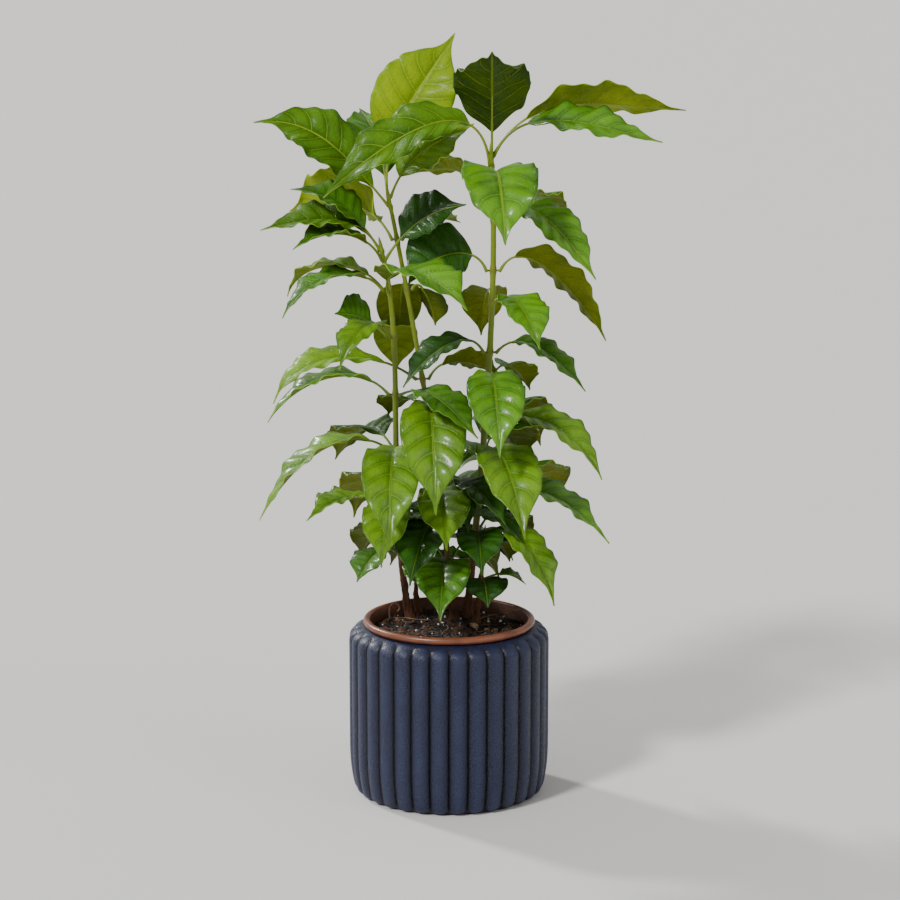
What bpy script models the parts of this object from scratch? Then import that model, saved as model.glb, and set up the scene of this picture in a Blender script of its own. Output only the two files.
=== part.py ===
"""A young coffee plant in a reeded pot: a build script for Blender 4.5.

Three woody stems and two short side shoots rise from the soil of a nursery liner, which
stands inside a ceramic outer pot with convex reeds. Leaves leave the stems at swollen
nodes. Each node's leaves are one solid: a collar round the stem, 0.3 mm clear of it, with
the leaf stalks grown out of it. The topmost leaves of a stem grow from a short twig on
its cut tip.

Lengths are in metres and angles in degrees. +Z is up, +X is the plant's right, and its
front is -Y. The origin is the centre of the pot's flat underside. A turn of 0 points
to +X, and 90 to +Y.
"""

import math
import random
from collections import namedtuple

import bpy
import bmesh
from mathutils import Vector
from mathutils.bvhtree import BVHTree

UP = Vector((0.0, 0.0, 1.0))
GAP = 0.0003

# Outer pot
POT_GROOVE_RADIUS = 0.0754
POT_REEDS = 32
REED_DEPTH = 0.0028
REED_COLUMNS = 4
POT_FOOT_RADIUS = 0.0675
POT_TUCK = 0.0055
POT_TUCK_HEIGHT = 0.042
POT_TUCK_POWER = 2.4
POT_FOOT_ROUND = 0.0006
REED_FOOT_HEIGHT = 0.0022
REED_FOOT_END = 0.75
REED_HEIGHTS = (0.008, 0.021, POT_TUCK_HEIGHT)
SHOULDER_RADIUS = 0.0107
SHOULDER_HEIGHT = 0.1225
REED_END_START = 25.0
REED_END_STOP = 65.0
SHOULDER_ANGLES = (0.0, REED_END_START, 42.0, 54.0, REED_END_STOP)
POT_TOP = SHOULDER_HEIGHT + SHOULDER_RADIUS
POT_FLOOR = 0.007
POT_MOUTH_RADIUS = 0.0632
POT_CAVITY_RADIUS = 0.0690
CAVITY_CORNER = 0.008
CAVITY_OVER = 0.010
CAVITY_SIDES = 36

# Nursery liner and soil
LINER_SIDES = 40
LIP_RADIUS = 0.0028
LIP_CENTRE_RADIUS = 0.0642
LIP_POINTS = 7
LIP_TURN = 150.0
LINER_BASE_RADIUS = 0.0500
LINER_WALL = 0.0012
LINER_BASE = POT_FLOOR + GAP
LINER_FLOOR = LINER_BASE + 2.0 * LINER_WALL
LIP_CENTRE = POT_TOP + GAP + LIP_RADIUS
SOIL_TOP = 0.1290
SOIL_SIDES = 36

# Stems: the centre line is one cubic curve from the foot to the tip
STEM_SIDES = 8
STEM_STEPS = 10
FLARE = 0.0013
FLARE_HEIGHT = 0.010

# Node collars and the twig on a stem's tip
COLLAR_GAP = 0.00033
COLLAR_WALL = 0.00135
COLLAR_HEIGHT = 0.0052
CROWN_STEP = 0.0075
CROWN_PAIRS = 2
CROWN_FIRST = 0.60
CROWN_OFFSET = 0.13
CROWN_BUD = 0.009
TWIG_TAPER = 0.85
BUD_TAPER = 0.25

# Leaves
STALK_RADIUS = 0.00115
STALK_ROOT = 0.0016
TWIG_SINK = 0.0005
COLLAR_SINK = 0.2
BLADE_THICKNESS = 0.0115
LEAST_THICKNESS = 0.0012
UPPER_SHARE = 0.35
STALK_TAPER = 0.15
ROLL_SPAN = 0.15
BLADE_STATIONS = (0.09, 0.21, 0.34, 0.47, 0.60, 0.72, 0.83, 0.92)
HANDLE = 0.40
FOLD = 14.0
WAVES = 3.6
WAVE_LAG = 1.9
WAVE_HALF_WIDTH = 0.010
DRIP_HALF_WIDTH = 0.0011
CLEARANCE = 0.0004
REAR_SPREAD = 40.0
REAR_LOW = 0.22
REAR_REACHES = (0.088, 0.112)
YOUNG_HEIGHT = 0.40
SEED = 11

Stem = namedtuple("Stem", "foot low high tip foot_radius tip_radius")
Leaf = namedtuple("Leaf", "turn reach rise lift nod width roll stalk swing wave spring")
Spray = namedtuple("Spray", "name stem height rear leaves")


def leaf(turn, reach, rise, lift, nod, width, roll=0, stalk=0.016, swing=0, wave=0.0016,
         spring=0.40):
    """Name the sizes of one leaf.

    turn, reach and rise place the tip from the leaf's root. lift is the slope at which
    the stalk springs, and nod the slope of the midrib at the tip. roll tips the blade
    about its midrib, swing turns the stalk aside from the blade, and spring is the share
    of the chord over which the stalk's own direction holds.
    """
    return Leaf(turn, reach, rise, lift, nod, width, roll, stalk, swing, wave, spring)


STEMS = {
    "left_stem": Stem((-0.031, 0.031, SOIL_TOP + GAP), (-0.050, 0.030, 0.230),
                      (-0.034, 0.022, 0.340), (-0.049, 0.018, 0.412), 0.0027, 0.0018),
    "middle_stem": Stem((0.004, 0.031, SOIL_TOP + GAP), (-0.006, 0.034, 0.240),
                        (-0.024, 0.030, 0.350), (-0.044, 0.028, 0.452), 0.0026, 0.0016),
    "right_stem": Stem((0.014, 0.034, SOIL_TOP + GAP), (0.026, 0.032, 0.250),
                       (0.038, 0.024, 0.380), (0.033, 0.018, 0.484), 0.0030, 0.0020),
    "front_shoot": Stem((0.021, 0.019, SOIL_TOP + GAP), (0.023, 0.018, 0.150),
                        (0.026, 0.015, 0.170), (0.027, 0.012, 0.188), 0.0019, 0.0014),
    "rear_shoot": Stem((-0.024, 0.046, SOIL_TOP + GAP), (-0.027, 0.048, 0.142),
                       (-0.027, 0.050, 0.152), (-0.025, 0.051, 0.162), 0.0019, 0.0014),
}

#         turn  reach   rise   lift  nod  width
SPRAYS = (
    Spray("right_crown", "right_stem", None, 0, (
        leaf(197, 0.133, -0.020, 84, -42, 0.046, roll=-35, stalk=0.038, wave=0.0024,
             spring=0.56),
        leaf(-91, 0.094, 0.090, 84, 28, 0.060, stalk=0.026, wave=0.0026),
        leaf(-12, 0.131, 0.013, 66, -12, 0.040, roll=26, stalk=0.040, wave=0.0022),
        leaf(8, 0.151, 0.033, 62, -4, 0.042, roll=-38, stalk=0.038, wave=0.0022))),
    Spray("right_leaves_9", "right_stem", 0.466, 0, (
        leaf(-85, 0.088, -0.028, 84, -74, 0.059, wave=0.0022, spring=0.55),
        leaf(133, 0.089, 0.012, 48, -12, 0.046, roll=28, wave=0.0022))),
    Spray("right_leaves_8", "right_stem", 0.448, 0, (
        leaf(-34, 0.092, -0.040, 54, -52, 0.042, roll=14),
        leaf(46, 0.080, -0.012, 62, -62, 0.046, wave=0.0022))),
    Spray("right_leaves_7", "right_stem", 0.408, 0, (
        leaf(-163, 0.068, -0.008, 70, -60, 0.058, roll=-42, stalk=0.018, spring=0.44),
        leaf(-8, 0.088, -0.053, 64, -62, 0.048, roll=-34, stalk=0.020))),
    Spray("right_leaves_6", "right_stem", 0.385, 0, (
        leaf(-63, 0.077, -0.028, 30, -56, 0.038),
        leaf(98, 0.057, -0.036, 50, -80, 0.038))),
    Spray("right_leaves_5", "right_stem", 0.344, 0, (
        leaf(211, 0.078, -0.021, 62, -52, 0.034, roll=-8),
        leaf(-22, 0.079, -0.026, 52, -50, 0.034, roll=6))),
    Spray("right_leaves_4", "right_stem", 0.324, 0, (
        leaf(-85, 0.087, -0.047, 36, -68, 0.046),
        leaf(57, 0.063, -0.019, 42, -56, 0.036))),
    Spray("right_leaves_3", "right_stem", 0.282, 1, (
        leaf(-23, 0.098, -0.032, 48, -66, 0.040, roll=10),)),
    Spray("right_leaves_2", "right_stem", 0.262, 1, (
        leaf(-73, 0.106, -0.045, 42, -62, 0.049),
        leaf(-128, 0.076, -0.020, 40, -54, 0.036))),
    Spray("right_leaves_1", "right_stem", 0.224, 2, (
        leaf(-16, 0.106, -0.027, 42, -50, 0.038, roll=8),)),
    Spray("right_leaves_0", "right_stem", 0.200, 2, (
        leaf(-44, 0.084, -0.046, 36, -76, 0.036),
        leaf(-78, 0.080, -0.016, 24, -50, 0.038))),
    Spray("middle_crown", "middle_stem", None, 0, (
        leaf(37, 0.062, 0.131, 70, 54, 0.064, roll=48, stalk=0.044, swing=88,
             wave=0.0026),
        leaf(173, 0.106, 0.063, 50, -8, 0.048, roll=-46, wave=0.0024),
        leaf(6, 0.066, 0.064, 72, 26, 0.054, roll=36, wave=0.0024),
        leaf(122, 0.084, 0.062, 66, 14, 0.048, wave=0.0024))),
    Spray("middle_leaves_6", "middle_stem", 0.431, 0, (
        leaf(146, 0.104, 0.016, 60, -24, 0.060, roll=46, wave=0.0026),
        leaf(35, 0.060, 0.010, 50, -20, 0.036))),
    Spray("middle_leaves_5", "middle_stem", 0.392, 0, (
        leaf(102, 0.034, -0.046, 50, -86, 0.038),
        leaf(38, 0.027, -0.030, 60, -86, 0.036))),
    Spray("middle_leaves_4", "middle_stem", 0.322, 0, (
        leaf(190, 0.117, -0.016, 40, -70, 0.034, roll=-16, stalk=0.026),
        leaf(12, 0.064, 0.000, 66, -34, 0.040, roll=-28))),
    Spray("middle_leaves_3", "middle_stem", 0.296, 0, (
        leaf(-86, 0.096, -0.062, 46, -72, 0.052, stalk=0.022, spring=0.44),
        leaf(123, 0.060, -0.012, 40, -48, 0.042))),
    Spray("middle_leaves_2", "middle_stem", 0.235, 2, (
        leaf(-50, 0.080, -0.016, 42, -42, 0.037),
        leaf(-80, 0.088, -0.030, 22, -46, 0.042),
        leaf(-62, 0.050, -0.034, 30, -70, 0.024, stalk=0.010))),
    Spray("middle_leaves_1", "middle_stem", 0.204, 2, (
        leaf(-106, 0.094, -0.026, 36, -52, 0.043),
        leaf(-130, 0.070, -0.006, 38, -46, 0.034),
        leaf(-64, 0.074, -0.014, 48, -58, 0.030))),
    Spray("middle_leaves_0", "middle_stem", 0.178, 2, (
        leaf(-94, 0.083, -0.030, 26, -62, 0.044),)),
    Spray("left_crown", "left_stem", None, 0, (
        leaf(203, 0.074, 0.012, 64, -34, 0.040, roll=-6, stalk=0.018),
        leaf(-8, 0.064, 0.043, 58, 8, 0.045, roll=42, stalk=0.018),
        leaf(185, 0.093, 0.017, 66, -14, 0.044, roll=-18, stalk=0.018),
        leaf(163, 0.070, 0.042, 58, 2, 0.044, roll=-16, stalk=0.018))),
    Spray("left_leaves_6", "left_stem", 0.393, 0, (
        leaf(-58, 0.112, -0.002, 46, -34, 0.054, swing=-44),
        leaf(197, 0.085, -0.018, 54, -64, 0.034, roll=-6),
        leaf(163, 0.084, -0.016, 58, -76, 0.036))),
    Spray("left_leaves_5", "left_stem", 0.357, 0, (
        leaf(207, 0.050, 0.021, 46, 2, 0.042, roll=-38),
        leaf(-117, 0.086, -0.014, 50, -62, 0.030),
        leaf(98, 0.050, -0.016, 48, -82, 0.036))),
    Spray("left_leaves_4", "left_stem", 0.311, 0, (
        leaf(188, 0.100, -0.020, 52, -60, 0.038),
        leaf(-51, 0.101, -0.020, 26, -30, 0.036, roll=6))),
    Spray("left_leaves_3", "left_stem", 0.267, 1, (
        leaf(194, 0.109, -0.051, 38, -62, 0.040),
        leaf(-92, 0.104, -0.057, 28, -74, 0.046))),
    Spray("left_leaves_2", "left_stem", 0.226, 1, (
        leaf(215, 0.084, -0.006, 16, -36, 0.037),
        leaf(-98, 0.078, -0.036, 30, -68, 0.038))),
    Spray("left_leaves_1", "left_stem", 0.186, 1, (
        leaf(-134, 0.048, -0.018, 34, -52, 0.034),)),
    Spray("front_shoot_crown", "front_shoot", None, 0, (
        leaf(64, 0.040, -0.020, 36, -64, 0.036, stalk=0.010),
        leaf(-12, 0.048, -0.016, 34, -52, 0.034, stalk=0.010))),
    Spray("front_shoot_leaves", "front_shoot", 0.166, 0, (
        leaf(-84, 0.046, -0.012, 24, -56, 0.036, stalk=0.010),
        leaf(8, 0.036, -0.006, 30, -46, 0.026, stalk=0.010))),
    Spray("rear_shoot_crown", "rear_shoot", None, 1, (
        leaf(-72, 0.060, -0.012, 22, -56, 0.038, stalk=0.010),
        leaf(10, 0.052, -0.006, 34, -46, 0.034, stalk=0.010))),
)

# Turn and rise that a leaf may give way by, where it would touch a limb or another leaf
NUDGES = sorted(((turn, lift * 0.001)
                 for turn in range(-30, 31, 3) for lift in range(-20, 21, 4)),
                key=lambda step: (abs(step[0]) + 900.0 * abs(step[1]), step))


def clear_scene():
    """Remove what the scene holds."""
    for item in list(bpy.data.objects):
        bpy.data.objects.remove(item, do_unlink=True)


def material(name, colour, roughness, metallic=0.0):
    """Return a Principled material of the given colour."""
    made = bpy.data.materials.new(name)
    made.use_nodes = True
    shader = made.node_tree.nodes["Principled BSDF"]
    shader.inputs["Base Color"].default_value = (*colour, 1.0)
    shader.inputs["Roughness"].default_value = roughness
    shader.inputs["Metallic"].default_value = metallic
    made.diffuse_color = (*colour, 1.0)
    return made


def mesh_object(name, points, faces, finish, smooth_angle=40.0):
    """Make one closed body, with its faces outward and its round sides smooth."""
    mesh = bpy.data.meshes.new(name)
    mesh.from_pydata([tuple(point) for point in points], [], faces)
    shape = bmesh.new()
    shape.from_mesh(mesh)
    bmesh.ops.recalc_face_normals(shape, faces=shape.faces)
    shape.to_mesh(mesh)
    shape.free()
    mesh.shade_smooth()
    mesh.set_sharp_from_angle(angle=math.radians(smooth_angle))
    mesh.materials.append(finish)
    made = bpy.data.objects.new(name, mesh)
    bpy.context.scene.collection.objects.link(made)
    return made


def heading(turn):
    """Return the level direction of a turn."""
    angle = math.radians(turn)
    return Vector((math.cos(angle), math.sin(angle), 0.0))


def smooth_step(value):
    """Ease from 0 to 1."""
    held = min(1.0, max(0.0, value))
    return held * held * (3.0 - 2.0 * held)


# ---------------------------------------------------------------- turned pieces

def turned(name, rings, columns, finish, closed=False):
    """Turn a profile round Z.

    rings holds (height, radius function) pairs. A radius of None closes an end with a
    point on the axis. A closed profile joins its last ring to its first.
    """
    points = []
    rows = []
    for height, radius in rings:
        if radius is None:
            rows.append([len(points)])
            points.append((0.0, 0.0, height))
            continue
        rows.append(list(range(len(points), len(points) + columns)))
        for column in range(columns):
            angle = 2.0 * math.pi * column / columns
            length = radius(column) if callable(radius) else radius
            points.append((length * math.cos(angle), length * math.sin(angle), height))
    pairs = list(zip(rows, rows[1:]))
    if closed:
        pairs.append((rows[-1], rows[0]))
    faces = []
    for low, high in pairs:
        for column in range(columns):
            after = (column + 1) % columns
            corners = [low[column % len(low)], low[after % len(low)],
                       high[after % len(high)], high[column % len(high)]]
            faces.append(list(dict.fromkeys(corners)))
    return mesh_object(name, points, faces, finish)


def reed(column, end):
    """Return how far a reed stands out, 0 to 1, at a column and a place along its end."""
    across = 2.0 * ((column % REED_COLUMNS) / REED_COLUMNS) - 1.0
    return math.sqrt(max(0.0, 1.0 - across * across - end * end))


def side_radius(height):
    """Return the groove radius of the pot's side, tucked in towards the foot."""
    drop = max(0.0, POT_TUCK_HEIGHT - height) / POT_TUCK_HEIGHT
    return POT_GROOVE_RADIUS - POT_TUCK * drop ** POT_TUCK_POWER


def reeded_ring(height, base, end, slope=0.0):
    """Return one ring whose reeds stand out along a surface that slopes by an angle."""
    out = math.cos(math.radians(slope)) * REED_DEPTH
    return height, lambda column: base + out * reed(column, end)


def shoulder_ring(angle):
    """Return one ring of the rounded shoulder, where the reeds end in domes."""
    end = (angle - REED_END_START) / (REED_END_STOP - REED_END_START)
    end = min(1.0, max(0.0, end))
    height = SHOULDER_HEIGHT + SHOULDER_RADIUS * math.sin(math.radians(angle))
    base = (POT_GROOVE_RADIUS - SHOULDER_RADIUS
            + SHOULDER_RADIUS * math.cos(math.radians(angle)))
    return reeded_ring(height, base, end, angle)


def make_pot(finish):
    """Make the outer pot: reeded, round shouldered, hollowed by a turned cutter."""
    rings = [(0.0, None), (0.0, POT_FOOT_RADIUS),
             reeded_ring(REED_FOOT_HEIGHT, side_radius(0.0) - POT_FOOT_ROUND, REED_FOOT_END)]
    rings += [reeded_ring(height, side_radius(height), 0.0) for height in REED_HEIGHTS]
    rings += [shoulder_ring(angle) for angle in SHOULDER_ANGLES]
    rings += [(POT_TOP, POT_GROOVE_RADIUS - SHOULDER_RADIUS), (POT_TOP, None)]
    pot = turned("outer_pot", rings, POT_REEDS * REED_COLUMNS, finish)
    over = POT_TOP + CAVITY_OVER
    cutter = turned("pot_cavity", [
        (POT_FLOOR, None), (POT_FLOOR, POT_CAVITY_RADIUS - CAVITY_CORNER),
        (POT_FLOOR + CAVITY_CORNER, POT_CAVITY_RADIUS),
        (SHOULDER_HEIGHT - CAVITY_CORNER, POT_CAVITY_RADIUS),
        (SHOULDER_HEIGHT, POT_MOUTH_RADIUS), (over, POT_MOUTH_RADIUS), (over, None)],
        CAVITY_SIDES, finish)
    cutter.hide_render = True
    cutter.display_type = "WIRE"
    hollow = pot.modifiers.new("hollow", "BOOLEAN")
    hollow.operation = "DIFFERENCE"
    hollow.object = cutter
    return pot


def lip_point(turn):
    """Return the height and radius of a point round the liner's rolled lip."""
    angle = math.radians(turn)
    return (LIP_CENTRE + LIP_RADIUS * math.sin(angle),
            LIP_CENTRE_RADIUS + LIP_RADIUS * math.cos(angle))


def make_liner(finish):
    """Make the nursery liner: a thin tapered pot with a rolled lip on the outer pot."""
    rings = [(LINER_BASE, None), (LINER_BASE, LINER_BASE_RADIUS)]
    rings += [lip_point(LIP_TURN * (2.0 * step / (LIP_POINTS - 1) - 1.0))
              for step in range(LIP_POINTS)]
    rings += [(LINER_FLOOR, LINER_BASE_RADIUS - LINER_WALL), (LINER_FLOOR, None)]
    return turned("nursery_liner", rings, LINER_SIDES, finish)


def liner_inner_radius(height):
    """Return the liner's inner radius at a height."""
    top_height, top_radius = lip_point(LIP_TURN)
    base_radius = LINER_BASE_RADIUS - LINER_WALL
    share = (height - LINER_FLOOR) / (top_height - LINER_FLOOR)
    return base_radius + (top_radius - base_radius) * share


def make_soil(finish):
    """Make the soil: it fills the liner up to a level top."""
    low = LINER_FLOOR + GAP
    clear = 2.0 * GAP
    return turned("soil", [
        (low, None), (low, liner_inner_radius(low) - clear),
        (SOIL_TOP, liner_inner_radius(SOIL_TOP) - clear), (SOIL_TOP, None)],
        SOIL_SIDES, finish)


# ---------------------------------------------------------------- stems and collars

def curve_point(knots, share):
    """Return a point of the cubic curve through four knots."""
    rest = 1.0 - share
    return (Vector(knots[0]) * rest ** 3 + Vector(knots[1]) * 3.0 * rest * rest * share
            + Vector(knots[2]) * 3.0 * rest * share * share + Vector(knots[3]) * share ** 3)


def stem_centre(stem, height):
    """Return the stem's centre at a height, by halving the curve's span."""
    low = 0.0
    high = 1.0
    for _ in range(30):
        middle = 0.5 * (low + high)
        if curve_point(stem[:4], middle).z < height:
            low = middle
        else:
            high = middle
    point = curve_point(stem[:4], high)
    point.z = height
    return point


def stem_radius(stem, height):
    """Return the stem's radius at a height: an even taper with a flare at the foot."""
    foot = stem.foot[2]
    share = (height - foot) / (stem.tip[2] - foot)
    flare = FLARE * math.exp(-(height - foot) / FLARE_HEIGHT)
    return stem.foot_radius + (stem.tip_radius - stem.foot_radius) * share + flare


def level_ring(centre, radius, sides=STEM_SIDES):
    """Return a level ring of points."""
    return [centre + heading(360.0 * side / sides) * radius for side in range(sides)]


def tube(rings):
    """Join rings of points into one body with flat ends."""
    sides = len(rings[0])
    points = [point for ring in rings for point in ring]
    faces = [list(range(sides))[::-1], list(range(len(points) - sides, len(points)))]
    for row in range(len(rings) - 1):
        for side in range(sides):
            after = (side + 1) % sides
            faces.append([row * sides + side, row * sides + after,
                          (row + 1) * sides + after, (row + 1) * sides + side])
    return points, faces


def collar_heights(name):
    """Return the node heights of a stem."""
    return [spray.height for spray in SPRAYS if spray.stem == name and spray.height]


def stem_rings(name):
    """Return a stem's rings. Each node has one at either end of its collar."""
    stem = STEMS[name]
    foot = stem.foot[2]
    tip = stem.tip[2]
    heights = {foot, foot + 0.5 * FLARE_HEIGHT, foot + FLARE_HEIGHT, tip}
    for node in collar_heights(name):
        heights |= {node - 0.5 * COLLAR_HEIGHT, node + 0.5 * COLLAR_HEIGHT}
    for step in range(1, STEM_STEPS):
        plain = foot + (tip - foot) * step / STEM_STEPS
        if min(abs(plain - other) for other in heights) > COLLAR_HEIGHT:
            heights.add(plain)
    return [level_ring(stem_centre(stem, height), stem_radius(stem, height))
            for height in sorted(heights)]


def collar(stem, height):
    """Return the collar round a stem's node: a ring clear of the stem all round."""
    inner = []
    outer = []
    for level in (height - 0.5 * COLLAR_HEIGHT, height + 0.5 * COLLAR_HEIGHT):
        centre = stem_centre(stem, level)
        radius = stem_radius(stem, level) + COLLAR_GAP
        inner.append(level_ring(centre, radius))
        outer.append(level_ring(centre, radius + COLLAR_WALL))
    loops = [inner[0], outer[0], outer[1], inner[1]]
    points = [point for ring in loops for point in ring]
    faces = []
    for row in range(4):
        for side in range(STEM_SIDES):
            after = (side + 1) % STEM_SIDES
            over = (row + 1) % 4
            faces.append([row * STEM_SIDES + side, row * STEM_SIDES + after,
                          over * STEM_SIDES + after, over * STEM_SIDES + side])
    return points, faces


def crown_axis(stem):
    """Return the direction in which a stem's tip points."""
    return (Vector(stem.tip) - Vector(stem.high)).normalized()


def crown_twig(stem):
    """Return the twig on a stem's tip, which ends in a pointed bud."""
    start = Vector(stem.tip) + UP * GAP
    axis = crown_axis(stem)
    length = CROWN_STEP * CROWN_PAIRS
    radius = stem_radius(stem, stem.tip[2])
    rings = [level_ring(start, radius), level_ring(start + axis * length, TWIG_TAPER * radius),
             level_ring(start + axis * (length + CROWN_BUD), BUD_TAPER * radius)]
    return tube(rings)


# ---------------------------------------------------------------- leaves

def leaf_root(spray, order):
    """Return where a leaf starts: a point on the twig's axis, or none for a collar."""
    stem = STEMS[spray.stem]
    if spray.height:
        return stem_centre(stem, spray.height)
    steps = order // 2 + CROWN_FIRST + CROWN_OFFSET * (order % 2)
    return Vector(stem.tip) + crown_axis(stem) * CROWN_STEP * steps


def blade_half_width(share, width):
    """Return half the blade's width along it: full low down, with a long drip tip."""
    full = math.sin(math.pi * share ** 0.86) ** 0.82
    tail = 1.0 - 0.72 * smooth_step((share - 0.66) / 0.30)
    return max(DRIP_HALF_WIDTH * (1.0 - 0.4 * share), 0.5 * width * full * tail)


def leaf_frames(one, root, start):
    """Return the midrib curve's knots, length, and the share of it that is stalk."""
    out = heading(one.turn)
    first = root + heading(one.turn + one.swing) * start
    tip = root + out * one.reach + UP * one.rise
    lift = math.radians(one.lift)
    nod = math.radians(one.nod)
    span = (tip - first).length
    spring = heading(one.turn + one.swing) * math.cos(lift) + UP * math.sin(lift)
    fall = out * math.cos(nod) + UP * math.sin(nod)
    knots = (first, first + spring * span * one.spring, tip - fall * span * HANDLE, tip)
    line = [curve_point(knots, step / 12) for step in range(13)]
    length = sum((line[step + 1] - line[step]).length for step in range(12))
    return knots, length, one.stalk / length


def leaf_rings(one, root, radius, phase, swell=0.0):
    """Return a leaf's rings of four points, from its root to its tip, and the tip.

    The stalk's rings are small diamonds. The blade's are thin ones, folded up along the
    midrib, and their edges wave. The first two rings are sunk in the collar or twig.
    """
    sunk = radius + COLLAR_GAP + COLLAR_SINK * COLLAR_WALL if radius else -TWIG_SINK
    start = (radius + COLLAR_GAP + COLLAR_WALL if radius else 0.0) + STALK_ROOT
    knots, length, stalk = leaf_frames(one, root, start)
    first_way = heading(one.turn + one.swing)
    across = Vector((-math.sin(math.radians(one.turn + one.swing)),
                     math.cos(math.radians(one.turn + one.swing)), 0.0))
    size = STALK_RADIUS + swell
    centre = root + first_way * sunk
    rings = [[centre + across * size, centre + UP * size,
              centre - across * size, centre - UP * size]]
    thickness = max(LEAST_THICKNESS, BLADE_THICKNESS * length)
    level = Vector((-math.sin(math.radians(one.turn)), math.cos(math.radians(one.turn)), 0.0))
    places = [0.0, 0.5 * stalk, stalk]
    places += [stalk + (1.0 - stalk) * share for share in BLADE_STATIONS]
    for place in places:
        ahead = curve_point(knots, min(1.0, place + 0.01))
        behind = curve_point(knots, max(0.0, place - 0.01))
        along = (ahead - behind).normalized()
        side = (level - along * level.dot(along)).normalized()
        top = along.cross(side)
        share = (place - stalk) / (1.0 - stalk)
        roll = math.radians(one.roll) * smooth_step(place / (stalk + ROLL_SPAN))
        side, top = (side * math.cos(roll) + top * math.sin(roll),
                     top * math.cos(roll) - side * math.sin(roll))
        centre = curve_point(knots, place)
        if share <= 0.0:
            size = STALK_RADIUS * (1.0 - STALK_TAPER * place / stalk) + swell
            rings.append([centre + side * size, centre + top * size,
                          centre - side * size, centre - top * size])
            continue
        half = blade_half_width(share, one.width)
        fold = math.radians(FOLD)
        body = smooth_step(half / WAVE_HALF_WIDTH)
        beat = 2.0 * math.pi * WAVES * share + phase
        near = one.wave * math.sin(beat) * body
        far = one.wave * math.sin(beat + WAVE_LAG) * body
        half += swell
        left = centre + side * half * math.cos(fold) + top * (half * math.sin(fold) + near)
        right = centre - side * half * math.cos(fold) + top * (half * math.sin(fold) + far)
        rings.append([left, centre + top * (UPPER_SHARE * thickness + swell),
                      right, centre - top * ((1.0 - UPPER_SHARE) * thickness + swell)])
    tip = knots[3] + (knots[3] - knots[2]).normalized() * swell
    return rings, tip


def leaf_body(rings, tip):
    """Close a leaf's rings into a body of triangles.

    The upper and lower faces are split along the same diagonals, so that a waved blade
    keeps its thickness.
    """
    points = [point for ring in rings for point in ring] + [tip]
    last = len(points) - 1
    faces = [[0, 2, 1], [0, 3, 2]]
    for row in range(len(rings) - 1):
        for side in range(4):
            low = row * 4 + side
            after = row * 4 + (side + 1) % 4
            if side < 2:
                faces += [[low, after, after + 4], [low, after + 4, low + 4]]
            else:
                faces += [[low, after, low + 4], [after, after + 4, low + 4]]
    for side in range(4):
        faces.append([last - 4 + side, last - 4 + (side + 1) % 4, last])
    return points, faces


def solid_tree(points, faces):
    """Return a search tree of a body, for finding what touches it."""
    return BVHTree.FromPolygons([tuple(point) for point in points], faces)


def rear_leaf(rng, order, height):
    """Return a leaf for the back of the plant, by rule."""
    side = 1.0 if order % 2 else -1.0
    reach = rng.uniform(0.85, 1.1) * REAR_REACHES[height > REAR_LOW]
    rise = -reach * rng.uniform(0.15, 0.40)
    width = reach * rng.uniform(0.44, 0.52)
    return leaf(90.0 + side * REAR_SPREAD * rng.uniform(0.35, 1.0), reach, rise,
                rng.uniform(36.0, 52.0), rng.uniform(-66.0, -46.0), width,
                roll=rng.uniform(-8.0, 8.0))


def grow():
    """Settle every leaf and return, for each spray, its leaves' bodies.

    The first leaf of each spray is placed before any second one. A leaf that would touch
    a limb or a leaf gives way by the smallest nudge that clears it, and is left out where
    none does.
    """
    rng = random.Random(SEED)
    stem_trees = {name: solid_tree(*tube(stem_rings(name))) for name in STEMS}
    wanted = {spray.name: list(spray.leaves) for spray in SPRAYS}
    for spray in SPRAYS:
        for order in range(spray.rear):
            height = spray.height or STEMS[spray.stem].tip[2]
            wanted[spray.name].append(rear_leaf(rng, order + len(spray.name), height))
    phases = {spray.name: [rng.uniform(0.0, 2.0 * math.pi) for _ in wanted[spray.name]]
              for spray in SPRAYS}
    bodies = {spray.name: [] for spray in SPRAYS}
    hubs = {}
    for spray in SPRAYS:
        stem = STEMS[spray.stem]
        hub = collar(stem, spray.height) if spray.height else crown_twig(stem)
        hubs[spray.name] = (hub, solid_tree(*hub))
    placed = []
    for order in range(max(len(leaves) for leaves in wanted.values())):
        for spray in SPRAYS:
            if order >= len(wanted[spray.name]):
                continue
            body = settle(spray, wanted[spray.name][order], order,
                          phases[spray.name][order], stem_trees, hubs, placed)
            if body:
                bodies[spray.name].append(body)
    return hubs, bodies


def settle(spray, one, order, phase, stem_trees, hubs, placed):
    """Return the body of one leaf at its first clear place, or None."""
    stem = STEMS[spray.stem]
    root = leaf_root(spray, order)
    radius = stem_radius(stem, spray.height) if spray.height else 0.0
    for turn, lift in NUDGES:
        trial = one._replace(turn=one.turn + turn, rise=one.rise + lift)
        rings, tip = leaf_rings(trial, root, radius, phase, CLEARANCE)
        whole = solid_tree(*leaf_body(rings, tip))
        blade = solid_tree(*leaf_body(rings[4:], tip))
        if any(tree.overlap(blade if name == spray.stem else whole)
               for name, tree in stem_trees.items()):
            continue
        if any(tree.overlap(blade if name == spray.name else whole)
               for name, (_, tree) in hubs.items()):
            continue
        if any(other_blade.overlap(blade) if name == spray.name else other.overlap(whole)
               for name, other, other_blade in placed):
            continue
        rings, tip = leaf_rings(trial, root, radius, phase)
        body = leaf_body(rings, tip)
        placed.append((spray.name, solid_tree(*body), solid_tree(*leaf_body(rings[4:], tip))))
        return body
    return None


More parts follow.
